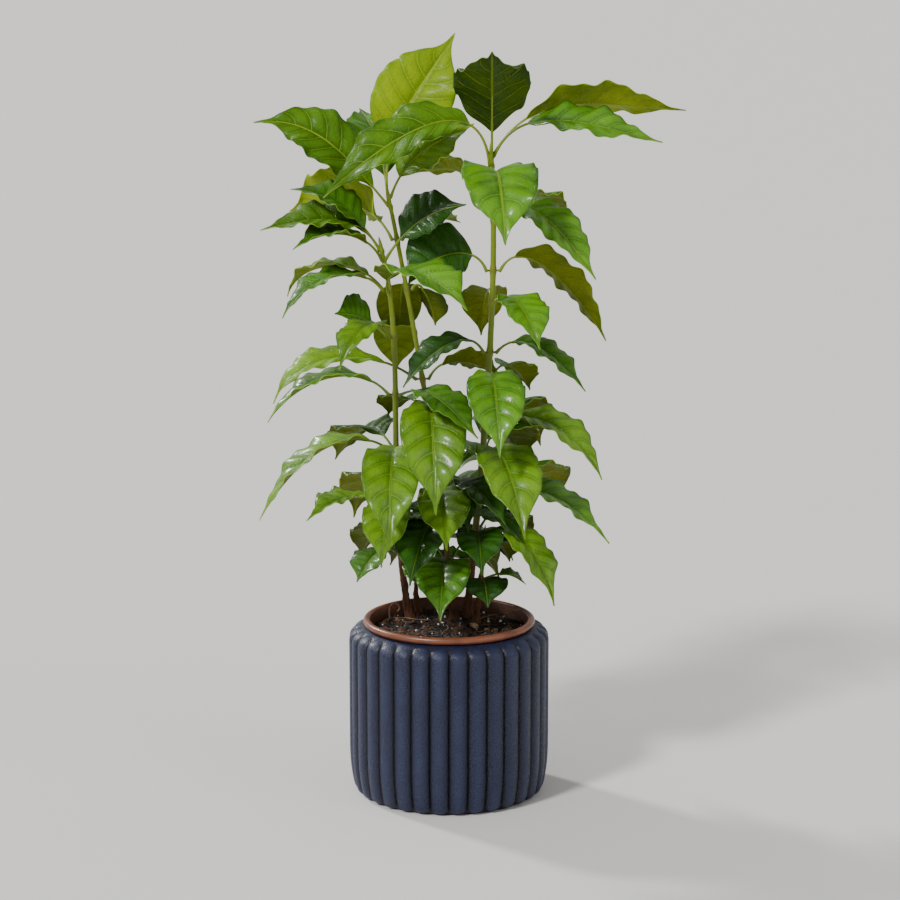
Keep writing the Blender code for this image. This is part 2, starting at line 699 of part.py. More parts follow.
def make_spray(spray, hub, leaves, finish):
    """Unite a collar or twig with its leaves into one solid."""
    made = mesh_object(spray.name, hub[0], hub[1], finish, 30.0)
    group = bpy.data.collections.new(spray.name + "_leaves")
    bpy.context.scene.collection.children.link(group)
    for number, (points, faces) in enumerate(leaves):
        piece = mesh_object(f"{spray.name}_leaf_{number}", points, faces, finish, 30.0)
        bpy.context.scene.collection.objects.unlink(piece)
        group.objects.link(piece)
    union = made.modifiers.new("union", "BOOLEAN")
    union.operation = "UNION"
    union.operand_type = "COLLECTION"
    union.collection = group
    bpy.context.view_layer.update()
    ready = made.evaluated_get(bpy.context.evaluated_depsgraph_get())
    mesh = bpy.data.meshes.new_from_object(ready)
    made.modifiers.clear()
    made.data = mesh
    for piece in list(group.objects):
        bpy.data.objects.remove(piece, do_unlink=True)
    bpy.data.collections.remove(group)
    return made


def main():
    """Build the pot, the stems and the leaves."""
    clear_scene()
    ceramic = material("matte_blue_ceramic", (0.045, 0.060, 0.150), 0.62)
    copper = material("copper_brown_plastic", (0.45, 0.20, 0.11), 0.42)
    earth = material("potting_soil", (0.030, 0.020, 0.014), 0.95)
    bark = material("green_brown_stem", (0.24, 0.20, 0.06), 0.60)
    old_leaf = material("dark_green_leaf", (0.035, 0.130, 0.015), 0.30)
    young_leaf = material("yellow_green_leaf", (0.20, 0.34, 0.02), 0.38)
    make_pot(ceramic)
    make_liner(copper)
    make_soil(earth)
    for name in STEMS:
        points, faces = tube(stem_rings(name))
        mesh_object(name, points, faces, bark)
    hubs, bodies = grow()
    for spray in SPRAYS:
        height = spray.height or STEMS[spray.stem].tip[2]
        finish = young_leaf if height > YOUNG_HEIGHT else old_leaf
        make_spray(spray, hubs[spray.name][0], bodies[spray.name], finish)


if __name__ == "__main__":
    main()
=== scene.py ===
"""A potted young coffee plant: the looks of its pot, soil, stems, stalks and leaves.

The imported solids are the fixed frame. The leaves grow here by the rule that grew the
solids, with the same sizes, so each fine leaf lies where its solid is. Lengths are in
metres and angles in degrees. +Z is up, +X is the plant's right and its front is -Y.
"""

import functools
import math
import random
from collections import namedtuple

import bpy
import numpy as np
from bpy.props import FloatProperty, FloatVectorProperty, IntProperty, PointerProperty
from mathutils import Euler, Matrix, Vector, noise
from mathutils.bvhtree import BVHTree


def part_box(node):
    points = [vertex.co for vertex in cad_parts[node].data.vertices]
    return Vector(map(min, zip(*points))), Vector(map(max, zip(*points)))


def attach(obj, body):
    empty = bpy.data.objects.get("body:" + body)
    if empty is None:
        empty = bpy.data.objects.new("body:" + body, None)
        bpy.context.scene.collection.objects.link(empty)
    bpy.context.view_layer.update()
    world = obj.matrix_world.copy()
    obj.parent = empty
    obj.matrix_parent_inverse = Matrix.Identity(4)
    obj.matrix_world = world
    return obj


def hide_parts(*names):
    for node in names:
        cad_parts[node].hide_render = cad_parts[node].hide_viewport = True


bl_info = {
    "name": "Potted coffee plant",
    "version": (1, 0, 0),
    "blender": (4, 5, 0),
    "location": "3D View > Sidebar > Coffee plant",
    "description": "Builds the finished surfaces of a potted young coffee plant",
    "category": "Add Mesh",
}

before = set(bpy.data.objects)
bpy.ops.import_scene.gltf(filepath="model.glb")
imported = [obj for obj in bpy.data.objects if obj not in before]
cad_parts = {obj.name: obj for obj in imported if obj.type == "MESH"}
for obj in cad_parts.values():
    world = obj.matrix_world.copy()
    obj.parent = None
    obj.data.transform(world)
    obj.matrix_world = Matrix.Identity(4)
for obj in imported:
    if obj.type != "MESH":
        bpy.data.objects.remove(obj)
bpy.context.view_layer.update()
BODY = "root"
LEAF_MAP = "leaf_place"
BAKE_MAP = "OFBake"

UP = Vector((0.0, 0.0, 1.0))
GAP = 0.0003

POT_LOW, POT_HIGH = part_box("outer_pot")
LINER_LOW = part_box("nursery_liner")[0]
SOIL_LOW, SOIL_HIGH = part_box("soil")
SOIL_TOP = SOIL_HIGH.z

# Sizes that the solids' rule uses
STEM_SIDES = 8
STEM_STEPS = 10
FLARE = 0.0013
FLARE_HEIGHT = 0.010
COLLAR_GAP = 0.00033
COLLAR_WALL = 0.00135
COLLAR_HEIGHT = 0.0052
CROWN_STEP = 0.0075
CROWN_PAIRS = 2
CROWN_FIRST = 0.60
CROWN_OFFSET = 0.13
CROWN_BUD = 0.009
TWIG_TAPER = 0.85
BUD_TAPER = 0.25
STALK_RADIUS = 0.00115
STALK_ROOT = 0.0016
TWIG_SINK = 0.0005
COLLAR_SINK = 0.2
BLADE_THICKNESS = 0.0115
LEAST_THICKNESS = 0.0012
UPPER_SHARE = 0.35
STALK_TAPER = 0.15
STALK_RINGS = 4
MIDRIB_STEPS = 12
SLOPE_STEP = 0.01
ROLL_SPAN = 0.15
BLADE_STATIONS = (0.09, 0.21, 0.34, 0.47, 0.60, 0.72, 0.83, 0.92)
HANDLE = 0.40
FOLD = 14.0
WAVES = 3.6
WAVE_LAG = 1.9
WAVE_HALF_WIDTH = 0.010
DRIP_HALF_WIDTH = 0.0011
CLEARANCE = 0.0004
REAR_SPREAD = 40.0
REAR_LOW = 0.22
REAR_REACHES = (0.088, 0.112)
REAR_SIZES = (0.85, 1.1)
REAR_DROPS = (0.15, 0.40)
REAR_WIDTHS = (0.44, 0.52)
REAR_TURNS = (0.35, 1.0)
REAR_LIFTS = (36.0, 52.0)
REAR_NODS = (-66.0, -46.0)
REAR_ROLLS = (-8.0, 8.0)
NUDGE_TURNS = range(-30, 31, 3)
NUDGE_LIFTS = range(-20, 21, 4)
NUDGE_LIFT_STEP = 0.001
NUDGE_LIFT_COST = 900.0
HALVINGS = 30
SEED = 11

# Sizes of the finer surfaces
WHOLE = (0.0, 1.0)
STALK_FILL = 0.9
MERGE = 0.00001
YOUNG_HEIGHT = 0.40
REED_COLUMNS = 12
SIDE_ROWS = 30
TURN_ROWS = 4
DOME_ROWS = 12
BROW_ROWS = 5
REED_ROUNDING = 1e-6
REED_END_ANGLES = (25.0, 65.0)
FOOT_ROWS = ((0.0003, 0.25, 1.0), (0.0008, 0.65, 0.97), (0.0014, 0.85, 0.90),
             (0.0022, 0.95, 0.76), (0.0034, 1.0, 0.56), (0.0048, 1.0, 0.34),
             (0.0064, 1.0, 0.15), (0.0080, 1.0, 0.0))
TUCK_POWER = 2.4
POT_FLOOR = 0.007
CAVITY_RADIUS = 0.0690
CAVITY_CORNER = 0.008
LIP_POINTS = 24
LIP_TURN = 150.0
LIP_UNEVEN = 0.00012
LINER_COLUMNS = 160
WALL_ROWS = 12
SOIL_ROWS = 62
SOIL_COLUMNS = 180
SOIL_BASE = 0.0485
SOIL_LAP = 0.0004
SOIL_EDGE = 0.045
SOIL_EDGE_WIDTH = 0.016
SOIL_SETTLE = 0.0006
SOIL_SPREAD = 0.0600
CHIP_STRETCHES = ((1.0, 0.62, 0.34), (0.8, 0.75, 0.5), (1.25, 0.40, 0.28), (0.9, 0.6, 0.55))
GRAIN_STRETCHES = ((0.9, 0.8, 0.7), (1.0, 0.75, 0.6))
CORK_STRETCHES = ((1.0, 0.8, 0.55), (1.0, 0.6, 0.5))
SIZE_SPREAD = 0.42
GRAIN_SIZE = 0.0019
FIBRE_SHAPES = 6
FIBRE_LENGTH = 0.012
FIBRE_SPREAD = 0.052
FIBRE_RADIUS = 0.011
FIBRE_POINTS = 9
STEM_ROWS = 190
STEM_COLUMNS = 24
STEM_SINK = 0.003
NODE_SPAN = 0.0030
CRACK_DEPTH = 0.00012
RIB_ROWS = 26
RIB_RADIUS = 0.00098
RIB_TAPER = 0.00078
STALK_FLARE = 0.00062
STALK_INSET = 0.0008
BUD_SINK = 0.002
BUD_ROWS = 30
BUD_SWELL = 0.0006
BUD_SWELL_SPAN = 0.0018
BLADE_COLUMNS = 22
BLADE_ROWS = 68
USUAL_HALF = 0.020
USUAL_WAVE = 0.0016
TIP_HALF = 0.00022
HANG_WIDTH = 0.0035
GROOVE_WIDTH = 0.0010
GROOVE_FADE = 0.004
CURLS = (-0.0010, 0.0006)
BAKE_MARGIN = 0.04
BAKE_SPAN = 0.92
RIM_SPAN = 0.025
FULL_REACH = 0.085
VEIN_SWEEP = (0.10, 0.07)
VEIN_STAGGER = 0.35
CORK_LUMPS = ((0.020, 0.006, 0.009, 0.4), (0.030, -0.004, 0.008, 1.9),
              (0.036, 0.000, 0.007, 2.6), (-0.040, 0.028, 0.008, 0.9))
CORK_RISE = 0.18
CORK_LEAN = (0.2, 0.1)
TWIG_PLACE = (-0.046, 0.026)
TWIG_RADIUS = 0.00095
TWIG_THINNING = 0.00004
TWIG_LINE = ((0.0, 0.0, -0.002), (-0.0008, 0.0, 0.003), (-0.001, 0.0, 0.008),
             (0.0, 0.0, 0.012), (0.002, -0.0005, 0.0145), (0.0045, -0.001, 0.0148),
             (0.0065, -0.001, 0.0130), (0.0070, -0.001, 0.0105), (0.0058, -0.001, 0.0085),
             (0.0042, -0.001, 0.0082))
CAMERA_PLACE = (0.0008, -2.0, 0.662)
CAMERA_TILT = 78.955
SENSOR_WIDTH = 36.0
FLOOR_SIZE = 120.0
FLOOR_CELLS = 8
SKY_COLOUR = (0.985, 0.98, 0.96, 1.0)
LAMPS = (("key", (-0.75, -0.85, 1.0), 9.0), ("rim", (-0.85, 0.80, 0.75), 6.0),
         ("fill", (1.0, -0.6, 0.6), 30.0))

Stem = namedtuple("Stem", "foot low high tip foot_radius tip_radius")
Leaf = namedtuple("Leaf", "turn reach rise lift nod width roll stalk swing wave spring")
Spray = namedtuple("Spray", "name stem height rear leaves")
Placed = namedtuple("Placed", "leaf root radius phase tone")
Tone = namedtuple("Tone", "deep bright under_deep under_bright vein gloss specular")

# Leaf colours: the upper face's shade and light, the underside's, and the veins. Then the
# weight of the waxy coat and the specular level.
# Lime and spring are pale young leaves whose colours also hold a painted glow of light shining
# through them.
TONES = {
    "lime": Tone((0.125, 0.235, 0.001), (0.300, 0.440, 0.001), (0.170, 0.260, 0.001),
                 (0.350, 0.450, 0.002), (0.46, 0.60, 0.012), 0.06, 0.14),
    "spring": Tone((0.052, 0.146, 0.001), (0.180, 0.365, 0.001), (0.110, 0.165, 0.001),
                   (0.27, 0.34, 0.002), (0.38, 0.54, 0.012), 0.28, 0.24),
    "olive": Tone((0.030, 0.102, 0.001), (0.158, 0.340, 0.001), (0.105, 0.148, 0.001),
                  (0.23, 0.28, 0.002), (0.30, 0.48, 0.010), 0.31, 0.26),
    "backlit": Tone((0.026, 0.088, 0.001), (0.095, 0.230, 0.001), (0.100, 0.145, 0.001),
                    (0.24, 0.30, 0.002), (0.28, 0.43, 0.008), 0.05, 0.13),
    "fresh": Tone((0.024, 0.104, 0.001), (0.132, 0.365, 0.001), (0.082, 0.134, 0.001),
                  (0.18, 0.25, 0.002), (0.26, 0.48, 0.010), 0.36, 0.28),
    "mid": Tone((0.012, 0.060, 0.001), (0.074, 0.228, 0.001), (0.092, 0.122, 0.001),
                (0.21, 0.24, 0.002), (0.17, 0.34, 0.008), 0.22, 0.21),
    "deep": Tone((0.004, 0.025, 0.001), (0.023, 0.110, 0.001), (0.046, 0.070, 0.001),
                 (0.115, 0.145, 0.002), (0.080, 0.21, 0.006), 0.24, 0.23),
    "dusk": Tone((0.008, 0.042, 0.001), (0.032, 0.12, 0.002), (0.012, 0.040, 0.001),
                 (0.065, 0.125, 0.002), (0.16, 0.26, 0.006), 0.08, 0.16),
}
UNDER_VEIN = (0.34, 0.40, 0.010)
REAR_TONES = {True: "mid", False: "deep"}
SPRAY_TONES = {
    "right_crown": "backlit dusk fresh spring",
    "right_leaves_9": "fresh spring",
    "right_leaves_8": "fresh olive",
    "right_leaves_7": "deep mid",
    "right_leaves_6": "fresh mid",
    "right_leaves_5": "deep mid",
    "right_leaves_4": "fresh mid",
    "right_leaves_3": "olive",
    "right_leaves_2": "olive fresh",
    "right_leaves_1": "fresh",
    "right_leaves_0": "olive deep",
    "middle_crown": "lime backlit spring mid",
    "middle_leaves_6": "lime olive",
    "middle_leaves_5": "mid deep",
    "middle_leaves_4": "spring mid",
    "middle_leaves_3": "olive mid",
    "middle_leaves_2": "deep olive deep",
    "middle_leaves_1": "deep deep deep",
    "middle_leaves_0": "mid",
    "left_crown": "mid deep backlit mid",
    "left_leaves_6": "fresh mid spring",
    "left_leaves_5": "mid olive spring",
    "left_leaves_4": "fresh mid",
    "left_leaves_3": "olive olive",
    "left_leaves_2": "olive olive",
    "left_leaves_1": "mid",
    "front_shoot_crown": "deep deep",
    "front_shoot_leaves": "deep mid",
    "rear_shoot_crown": "mid deep",
}


def leaf(turn, reach, rise, lift, nod, width, roll=0, stalk=0.016, swing=0, wave=USUAL_WAVE,
         spring=0.40):
    """Name the sizes of one leaf.

    turn, reach and rise place the tip from the leaf's root. lift is the slope at which
    the stalk springs, and nod the slope of the midrib at the tip. roll tips the blade
    about its midrib, swing turns the stalk aside from the blade, and spring is the share
    of the chord over which the stalk's own direction holds.
    """
    return Leaf(turn, reach, rise, lift, nod, width, roll, stalk, swing, wave, spring)


STEMS = {
    "left_stem": Stem((-0.031, 0.031, SOIL_TOP + GAP), (-0.050, 0.030, 0.230),
                      (-0.034, 0.022, 0.340), (-0.049, 0.018, 0.412), 0.0027, 0.0018),
    "middle_stem": Stem((0.004, 0.031, SOIL_TOP + GAP), (-0.006, 0.034, 0.240),
                        (-0.024, 0.030, 0.350), (-0.044, 0.028, 0.452), 0.0026, 0.0016),
    "right_stem": Stem((0.014, 0.034, SOIL_TOP + GAP), (0.026, 0.032, 0.250),
                       (0.038, 0.024, 0.380), (0.033, 0.018, 0.484), 0.0030, 0.0020),
    "front_shoot": Stem((0.021, 0.019, SOIL_TOP + GAP), (0.023, 0.018, 0.150),
                        (0.026, 0.015, 0.170), (0.027, 0.012, 0.188), 0.0019, 0.0014),
    "rear_shoot": Stem((-0.024, 0.046, SOIL_TOP + GAP), (-0.027, 0.048, 0.142),
                       (-0.027, 0.050, 0.152), (-0.025, 0.051, 0.162), 0.0019, 0.0014),
}

#         turn  reach   rise   lift  nod  width
SPRAYS = (
    Spray("right_crown", "right_stem", None, 0, (
        leaf(197, 0.133, -0.020, 84, -42, 0.046, roll=-35, stalk=0.038, wave=0.0024,
             spring=0.56),
        leaf(-91, 0.094, 0.090, 84, 28, 0.060, stalk=0.026, wave=0.0026),
        leaf(-12, 0.131, 0.013, 66, -12, 0.040, roll=26, stalk=0.040, wave=0.0022),
        leaf(8, 0.151, 0.033, 62, -4, 0.042, roll=-38, stalk=0.038, wave=0.0022))),
    Spray("right_leaves_9", "right_stem", 0.466, 0, (
        leaf(-85, 0.088, -0.028, 84, -74, 0.059, wave=0.0022, spring=0.55),
        leaf(133, 0.089, 0.012, 48, -12, 0.046, roll=28, wave=0.0022))),
    Spray("right_leaves_8", "right_stem", 0.448, 0, (
        leaf(-34, 0.092, -0.040, 54, -52, 0.042, roll=14),
        leaf(46, 0.080, -0.012, 62, -62, 0.046, wave=0.0022))),
    Spray("right_leaves_7", "right_stem", 0.408, 0, (
        leaf(-163, 0.068, -0.008, 70, -60, 0.058, roll=-42, stalk=0.018, spring=0.44),
        leaf(-8, 0.088, -0.053, 64, -62, 0.048, roll=-34, stalk=0.020))),
    Spray("right_leaves_6", "right_stem", 0.385, 0, (
        leaf(-63, 0.077, -0.028, 30, -56, 0.038),
        leaf(98, 0.057, -0.036, 50, -80, 0.038))),
    Spray("right_leaves_5", "right_stem", 0.344, 0, (
        leaf(211, 0.078, -0.021, 62, -52, 0.034, roll=-8),
        leaf(-22, 0.079, -0.026, 52, -50, 0.034, roll=6))),
    Spray("right_leaves_4", "right_stem", 0.324, 0, (
        leaf(-85, 0.087, -0.047, 36, -68, 0.046),
        leaf(57, 0.063, -0.019, 42, -56, 0.036))),
    Spray("right_leaves_3", "right_stem", 0.282, 1, (
        leaf(-23, 0.098, -0.032, 48, -66, 0.040, roll=10),)),
    Spray("right_leaves_2", "right_stem", 0.262, 1, (
        leaf(-73, 0.106, -0.045, 42, -62, 0.049),
        leaf(-128, 0.076, -0.020, 40, -54, 0.036))),
    Spray("right_leaves_1", "right_stem", 0.224, 2, (
        leaf(-16, 0.106, -0.027, 42, -50, 0.038, roll=8),)),
    Spray("right_leaves_0", "right_stem", 0.200, 2, (
        leaf(-44, 0.084, -0.046, 36, -76, 0.036),
        leaf(-78, 0.080, -0.016, 24, -50, 0.038))),
    Spray("middle_crown", "middle_stem", None, 0, (
        leaf(37, 0.062, 0.131, 70, 54, 0.064, roll=48, stalk=0.044, swing=88,
             wave=0.0026),
        leaf(173, 0.106, 0.063, 50, -8, 0.048, roll=-46, wave=0.0024),
        leaf(6, 0.066, 0.064, 72, 26, 0.054, roll=36, wave=0.0024),
        leaf(122, 0.084, 0.062, 66, 14, 0.048, wave=0.0024))),
    Spray("middle_leaves_6", "middle_stem", 0.431, 0, (
        leaf(146, 0.104, 0.016, 60, -24, 0.060, roll=46, wave=0.0026),
        leaf(35, 0.060, 0.010, 50, -20, 0.036))),
    Spray("middle_leaves_5", "middle_stem", 0.392, 0, (
        leaf(102, 0.034, -0.046, 50, -86, 0.038),
        leaf(38, 0.027, -0.030, 60, -86, 0.036))),
    Spray("middle_leaves_4", "middle_stem", 0.322, 0, (
        leaf(190, 0.117, -0.016, 40, -70, 0.034, roll=-16, stalk=0.026),
        leaf(12, 0.064, 0.000, 66, -34, 0.040, roll=-28))),
    Spray("middle_leaves_3", "middle_stem", 0.296, 0, (
        leaf(-86, 0.096, -0.062, 46, -72, 0.052, stalk=0.022, spring=0.44),
        leaf(123, 0.060, -0.012, 40, -48, 0.042))),
    Spray("middle_leaves_2", "middle_stem", 0.235, 2, (
        leaf(-50, 0.080, -0.016, 42, -42, 0.037),
        leaf(-80, 0.088, -0.030, 22, -46, 0.042),
        leaf(-62, 0.050, -0.034, 30, -70, 0.024, stalk=0.010))),
    Spray("middle_leaves_1", "middle_stem", 0.204, 2, (
        leaf(-106, 0.094, -0.026, 36, -52, 0.043),
        leaf(-130, 0.070, -0.006, 38, -46, 0.034),
        leaf(-64, 0.074, -0.014, 48, -58, 0.030))),
    Spray("middle_leaves_0", "middle_stem", 0.178, 2, (
        leaf(-94, 0.083, -0.030, 26, -62, 0.044),)),
    Spray("left_crown", "left_stem", None, 0, (
        leaf(203, 0.074, 0.012, 64, -34, 0.040, roll=-6, stalk=0.018),
        leaf(-8, 0.064, 0.043, 58, 8, 0.045, roll=42, stalk=0.018),
        leaf(185, 0.093, 0.017, 66, -14, 0.044, roll=-18, stalk=0.018),
        leaf(163, 0.070, 0.042, 58, 2, 0.044, roll=-16, stalk=0.018))),
    Spray("left_leaves_6", "left_stem", 0.393, 0, (
        leaf(-58, 0.112, -0.002, 46, -34, 0.054, swing=-44),
        leaf(197, 0.085, -0.018, 54, -64, 0.034, roll=-6),
        leaf(163, 0.084, -0.016, 58, -76, 0.036))),
    Spray("left_leaves_5", "left_stem", 0.357, 0, (
        leaf(207, 0.050, 0.021, 46, 2, 0.042, roll=-38),
        leaf(-117, 0.086, -0.014, 50, -62, 0.030),
        leaf(98, 0.050, -0.016, 48, -82, 0.036))),
    Spray("left_leaves_4", "left_stem", 0.311, 0, (
        leaf(188, 0.100, -0.020, 52, -60, 0.038),
        leaf(-51, 0.101, -0.020, 26, -30, 0.036, roll=6))),
    Spray("left_leaves_3", "left_stem", 0.267, 1, (
        leaf(194, 0.109, -0.051, 38, -62, 0.040),
        leaf(-92, 0.104, -0.057, 28, -74, 0.046))),
    Spray("left_leaves_2", "left_stem", 0.226, 1, (
        leaf(215, 0.084, -0.006, 16, -36, 0.037),
        leaf(-98, 0.078, -0.036, 30, -68, 0.038))),
    Spray("left_leaves_1", "left_stem", 0.186, 1, (
        leaf(-134, 0.048, -0.018, 34, -52, 0.034),)),
    Spray("front_shoot_crown", "front_shoot", None, 0, (
        leaf(64, 0.040, -0.020, 36, -64, 0.036, stalk=0.010),
        leaf(-12, 0.048, -0.016, 34, -52, 0.034, stalk=0.010))),
    Spray("front_shoot_leaves", "front_shoot", 0.166, 0, (
        leaf(-84, 0.046, -0.012, 24, -56, 0.036, stalk=0.010),
        leaf(8, 0.036, -0.006, 30, -46, 0.026, stalk=0.010))),
    Spray("rear_shoot_crown", "rear_shoot", None, 1, (
        leaf(-72, 0.060, -0.012, 22, -56, 0.038, stalk=0.010),
        leaf(10, 0.052, -0.006, 34, -46, 0.034, stalk=0.010))),
)

# Turn and rise that a leaf may give way by, where it would touch a limb or another leaf
NUDGES = sorted(((turn, lift * NUDGE_LIFT_STEP)
                 for turn in NUDGE_TURNS for lift in NUDGE_LIFTS),
                key=lambda step: (abs(step[0]) + NUDGE_LIFT_COST * abs(step[1]), step))


# ---------------------------------------------------------------- the rule of growth

def heading(turn):
    """Return the level direction of a turn."""
    angle = math.radians(turn)
    return Vector((math.cos(angle), math.sin(angle), 0.0))


def square_to(turn):
    """Return the level direction a quarter turn on from a turn."""
    angle = math.radians(turn)
    return Vector((-math.sin(angle), math.cos(angle), 0.0))


def smooth_step(value):
    """Ease from 0 to 1."""
    held = min(1.0, max(0.0, value))
    return held * held * (3.0 - 2.0 * held)


def curve_point(knots, share):
    """Return a point of the cubic curve through four knots."""
    rest = 1.0 - share
    return (Vector(knots[0]) * rest ** 3 + Vector(knots[1]) * 3.0 * rest * rest * share
            + Vector(knots[2]) * 3.0 * rest * share * share + Vector(knots[3]) * share ** 3)


def stem_centre(stem, height):
    """Return the stem's centre at a height, by halving the curve's span."""
    low = 0.0
    high = 1.0
    for _ in range(HALVINGS):
        middle = 0.5 * (low + high)
        if curve_point(stem[:4], middle).z < height:
            low = middle
        else:
            high = middle
    point = curve_point(stem[:4], high)
    point.z = height
    return point


def stem_radius(stem, height):
    """Return the stem's radius at a height: an even taper with a flare at the foot."""
    foot = stem.foot[2]
    share = (height - foot) / (stem.tip[2] - foot)
    flare = FLARE * math.exp(-(height - foot) / FLARE_HEIGHT)
    return stem.foot_radius + (stem.tip_radius - stem.foot_radius) * share + flare


def level_ring(centre, radius):
    """Return a level ring of points."""
    return [centre + heading(360.0 * side / STEM_SIDES) * radius for side in range(STEM_SIDES)]


def band(row, over, sides):
    """Return the faces between two rings of a body."""
    return [[row * sides + side, row * sides + (side + 1) % sides,
             over * sides + (side + 1) % sides, over * sides + side] for side in range(sides)]


def tube(rings):
    """Join rings of points into one body with flat ends."""
    sides = len(rings[0])
    points = [point for ring in rings for point in ring]
    faces = [list(range(sides))[::-1], list(range(len(points) - sides, len(points)))]
    for row in range(len(rings) - 1):
        faces += band(row, row + 1, sides)
    return points, faces


def collar_heights(name):
    """Return the node heights of a stem."""
    return [spray.height for spray in SPRAYS if spray.stem == name and spray.height]


def stem_rings(name):
    """Return a stem's rings. Each node has one at either end of its collar."""
    stem = STEMS[name]
    foot = stem.foot[2]
    tip = stem.tip[2]
    heights = {foot, foot + 0.5 * FLARE_HEIGHT, foot + FLARE_HEIGHT, tip}
    for node in collar_heights(name):
        heights |= {node - 0.5 * COLLAR_HEIGHT, node + 0.5 * COLLAR_HEIGHT}
    for step in range(1, STEM_STEPS):
        plain = foot + (tip - foot) * step / STEM_STEPS
        if min(abs(plain - other) for other in heights) > COLLAR_HEIGHT:
            heights.add(plain)
    return [level_ring(stem_centre(stem, height), stem_radius(stem, height))
            for height in sorted(heights)]


def collar(stem, height):
    """Return the collar round a stem's node: a ring clear of the stem all round."""
    inner = []
    outer = []
    for level in (height - 0.5 * COLLAR_HEIGHT, height + 0.5 * COLLAR_HEIGHT):
        centre = stem_centre(stem, level)
        radius = stem_radius(stem, level) + COLLAR_GAP
        inner.append(level_ring(centre, radius))
        outer.append(level_ring(centre, radius + COLLAR_WALL))
    loops = [inner[0], outer[0], outer[1], inner[1]]
    points = [point for ring in loops for point in ring]
    faces = []
    for row in range(len(loops)):
        faces += band(row, (row + 1) % len(loops), STEM_SIDES)
    return points, faces


def crown_axis(stem):
    """Return the direction in which a stem's tip points."""
    return (Vector(stem.tip) - Vector(stem.high)).normalized()


def crown_twig(stem):
    """Return the twig on a stem's tip, which ends in a pointed bud."""
    start = Vector(stem.tip) + UP * GAP
    axis = crown_axis(stem)
    length = CROWN_STEP * CROWN_PAIRS
    radius = stem_radius(stem, stem.tip[2])
    rings = [level_ring(start, radius), level_ring(start + axis * length, TWIG_TAPER * radius),
             level_ring(start + axis * (length + CROWN_BUD), BUD_TAPER * radius)]
    return tube(rings)


def leaf_root(spray, order):
    """Return where a leaf starts: a point on the twig's axis, or none for a collar."""
    stem = STEMS[spray.stem]
    if spray.height:
        return stem_centre(stem, spray.height)
    steps = order // 2 + CROWN_FIRST + CROWN_OFFSET * (order % 2)
    return Vector(stem.tip) + crown_axis(stem) * CROWN_STEP * steps


def blade_half_width(share, width):
    """Return half the blade's width along it: full low down, with a long drip tip."""
    full = math.sin(math.pi * share ** 0.86) ** 0.82
    tail = 1.0 - 0.72 * smooth_step((share - 0.66) / 0.30)
    return max(DRIP_HALF_WIDTH * (1.0 - 0.4 * share), 0.5 * width * full * tail)


def leaf_frames(one, root, start):
    """Return the midrib curve's knots, length, and the share of it that is stalk."""
    out = heading(one.turn)
    first = root + heading(one.turn + one.swing) * start
    tip = root + out * one.reach + UP * one.rise
    lift = math.radians(one.lift)
    nod = math.radians(one.nod)
    span = (tip - first).length
    spring = heading(one.turn + one.swing) * math.cos(lift) + UP * math.sin(lift)
    fall = out * math.cos(nod) + UP * math.sin(nod)
    knots = (first, first + spring * span * one.spring, tip - fall * span * HANDLE, tip)
    line = [curve_point(knots, step / MIDRIB_STEPS) for step in range(MIDRIB_STEPS + 1)]
    length = sum((after - point).length for point, after in zip(line, line[1:]))
    return knots, length, one.stalk / length


def leaf_start(radius):
    """Return how far from its root a leaf's curve starts: clear of a collar, if it has one."""
    return (radius + COLLAR_GAP + COLLAR_WALL if radius else 0.0) + STALK_ROOT


def blade_frame(one, knots, stalk, place):
    """Return a place on the midrib, and the blade's side and top ways there."""
    level = square_to(one.turn)
    ahead = curve_point(knots, min(1.0, place + SLOPE_STEP))
    behind = curve_point(knots, max(0.0, place - SLOPE_STEP))
    along = (ahead - behind).normalized()
    side = (level - along * level.dot(along)).normalized()
    top = along.cross(side)
    roll = math.radians(one.roll) * smooth_step(place / (stalk + ROLL_SPAN))
    side, top = (side * math.cos(roll) + top * math.sin(roll),
                 top * math.cos(roll) - side * math.sin(roll))
    return curve_point(knots, place), side, top


def diamond(centre, side, top, size):
    """Return a ring of four points at an even distance."""
    return [centre + side * size, centre + top * size, centre - side * size,
            centre - top * size]


def leaf_rings(one, root, radius, phase, swell=0.0):
    """Return a leaf's rings of four points, from its root to its tip, and the tip.

    The stalk's rings are small diamonds. The blade's are thin ones, folded up along the
    midrib, and their edges wave. The first two rings are sunk in the collar or twig.
    """
    sunk = radius + COLLAR_GAP + COLLAR_SINK * COLLAR_WALL if radius else -TWIG_SINK
    knots, length, stalk = leaf_frames(one, root, leaf_start(radius))
    turn = one.turn + one.swing
    rings = [diamond(root + heading(turn) * sunk, square_to(turn), UP, STALK_RADIUS + swell)]
    thickness = max(LEAST_THICKNESS, BLADE_THICKNESS * length)
    places = [0.0, 0.5 * stalk, stalk]
    places += [stalk + (1.0 - stalk) * share for share in BLADE_STATIONS]
    for place in places:
        centre, side, top = blade_frame(one, knots, stalk, place)
        share = (place - stalk) / (1.0 - stalk)
        if share <= 0.0:
            size = STALK_RADIUS * (1.0 - STALK_TAPER * place / stalk) + swell
            rings.append(diamond(centre, side, top, size))
            continue
        half = blade_half_width(share, one.width)
        fold = math.radians(FOLD)
        body = smooth_step(half / WAVE_HALF_WIDTH)
        beat = 2.0 * math.pi * WAVES * share + phase
        near = one.wave * math.sin(beat) * body
        far = one.wave * math.sin(beat + WAVE_LAG) * body
        half += swell
        left = centre + side * half * math.cos(fold) + top * (half * math.sin(fold) + near)
        right = centre - side * half * math.cos(fold) + top * (half * math.sin(fold) + far)
        rings.append([left, centre + top * (UPPER_SHARE * thickness + swell),
                      right, centre - top * ((1.0 - UPPER_SHARE) * thickness + swell)])
    tip = knots[3] + (knots[3] - knots[2]).normalized() * swell
    return rings, tip


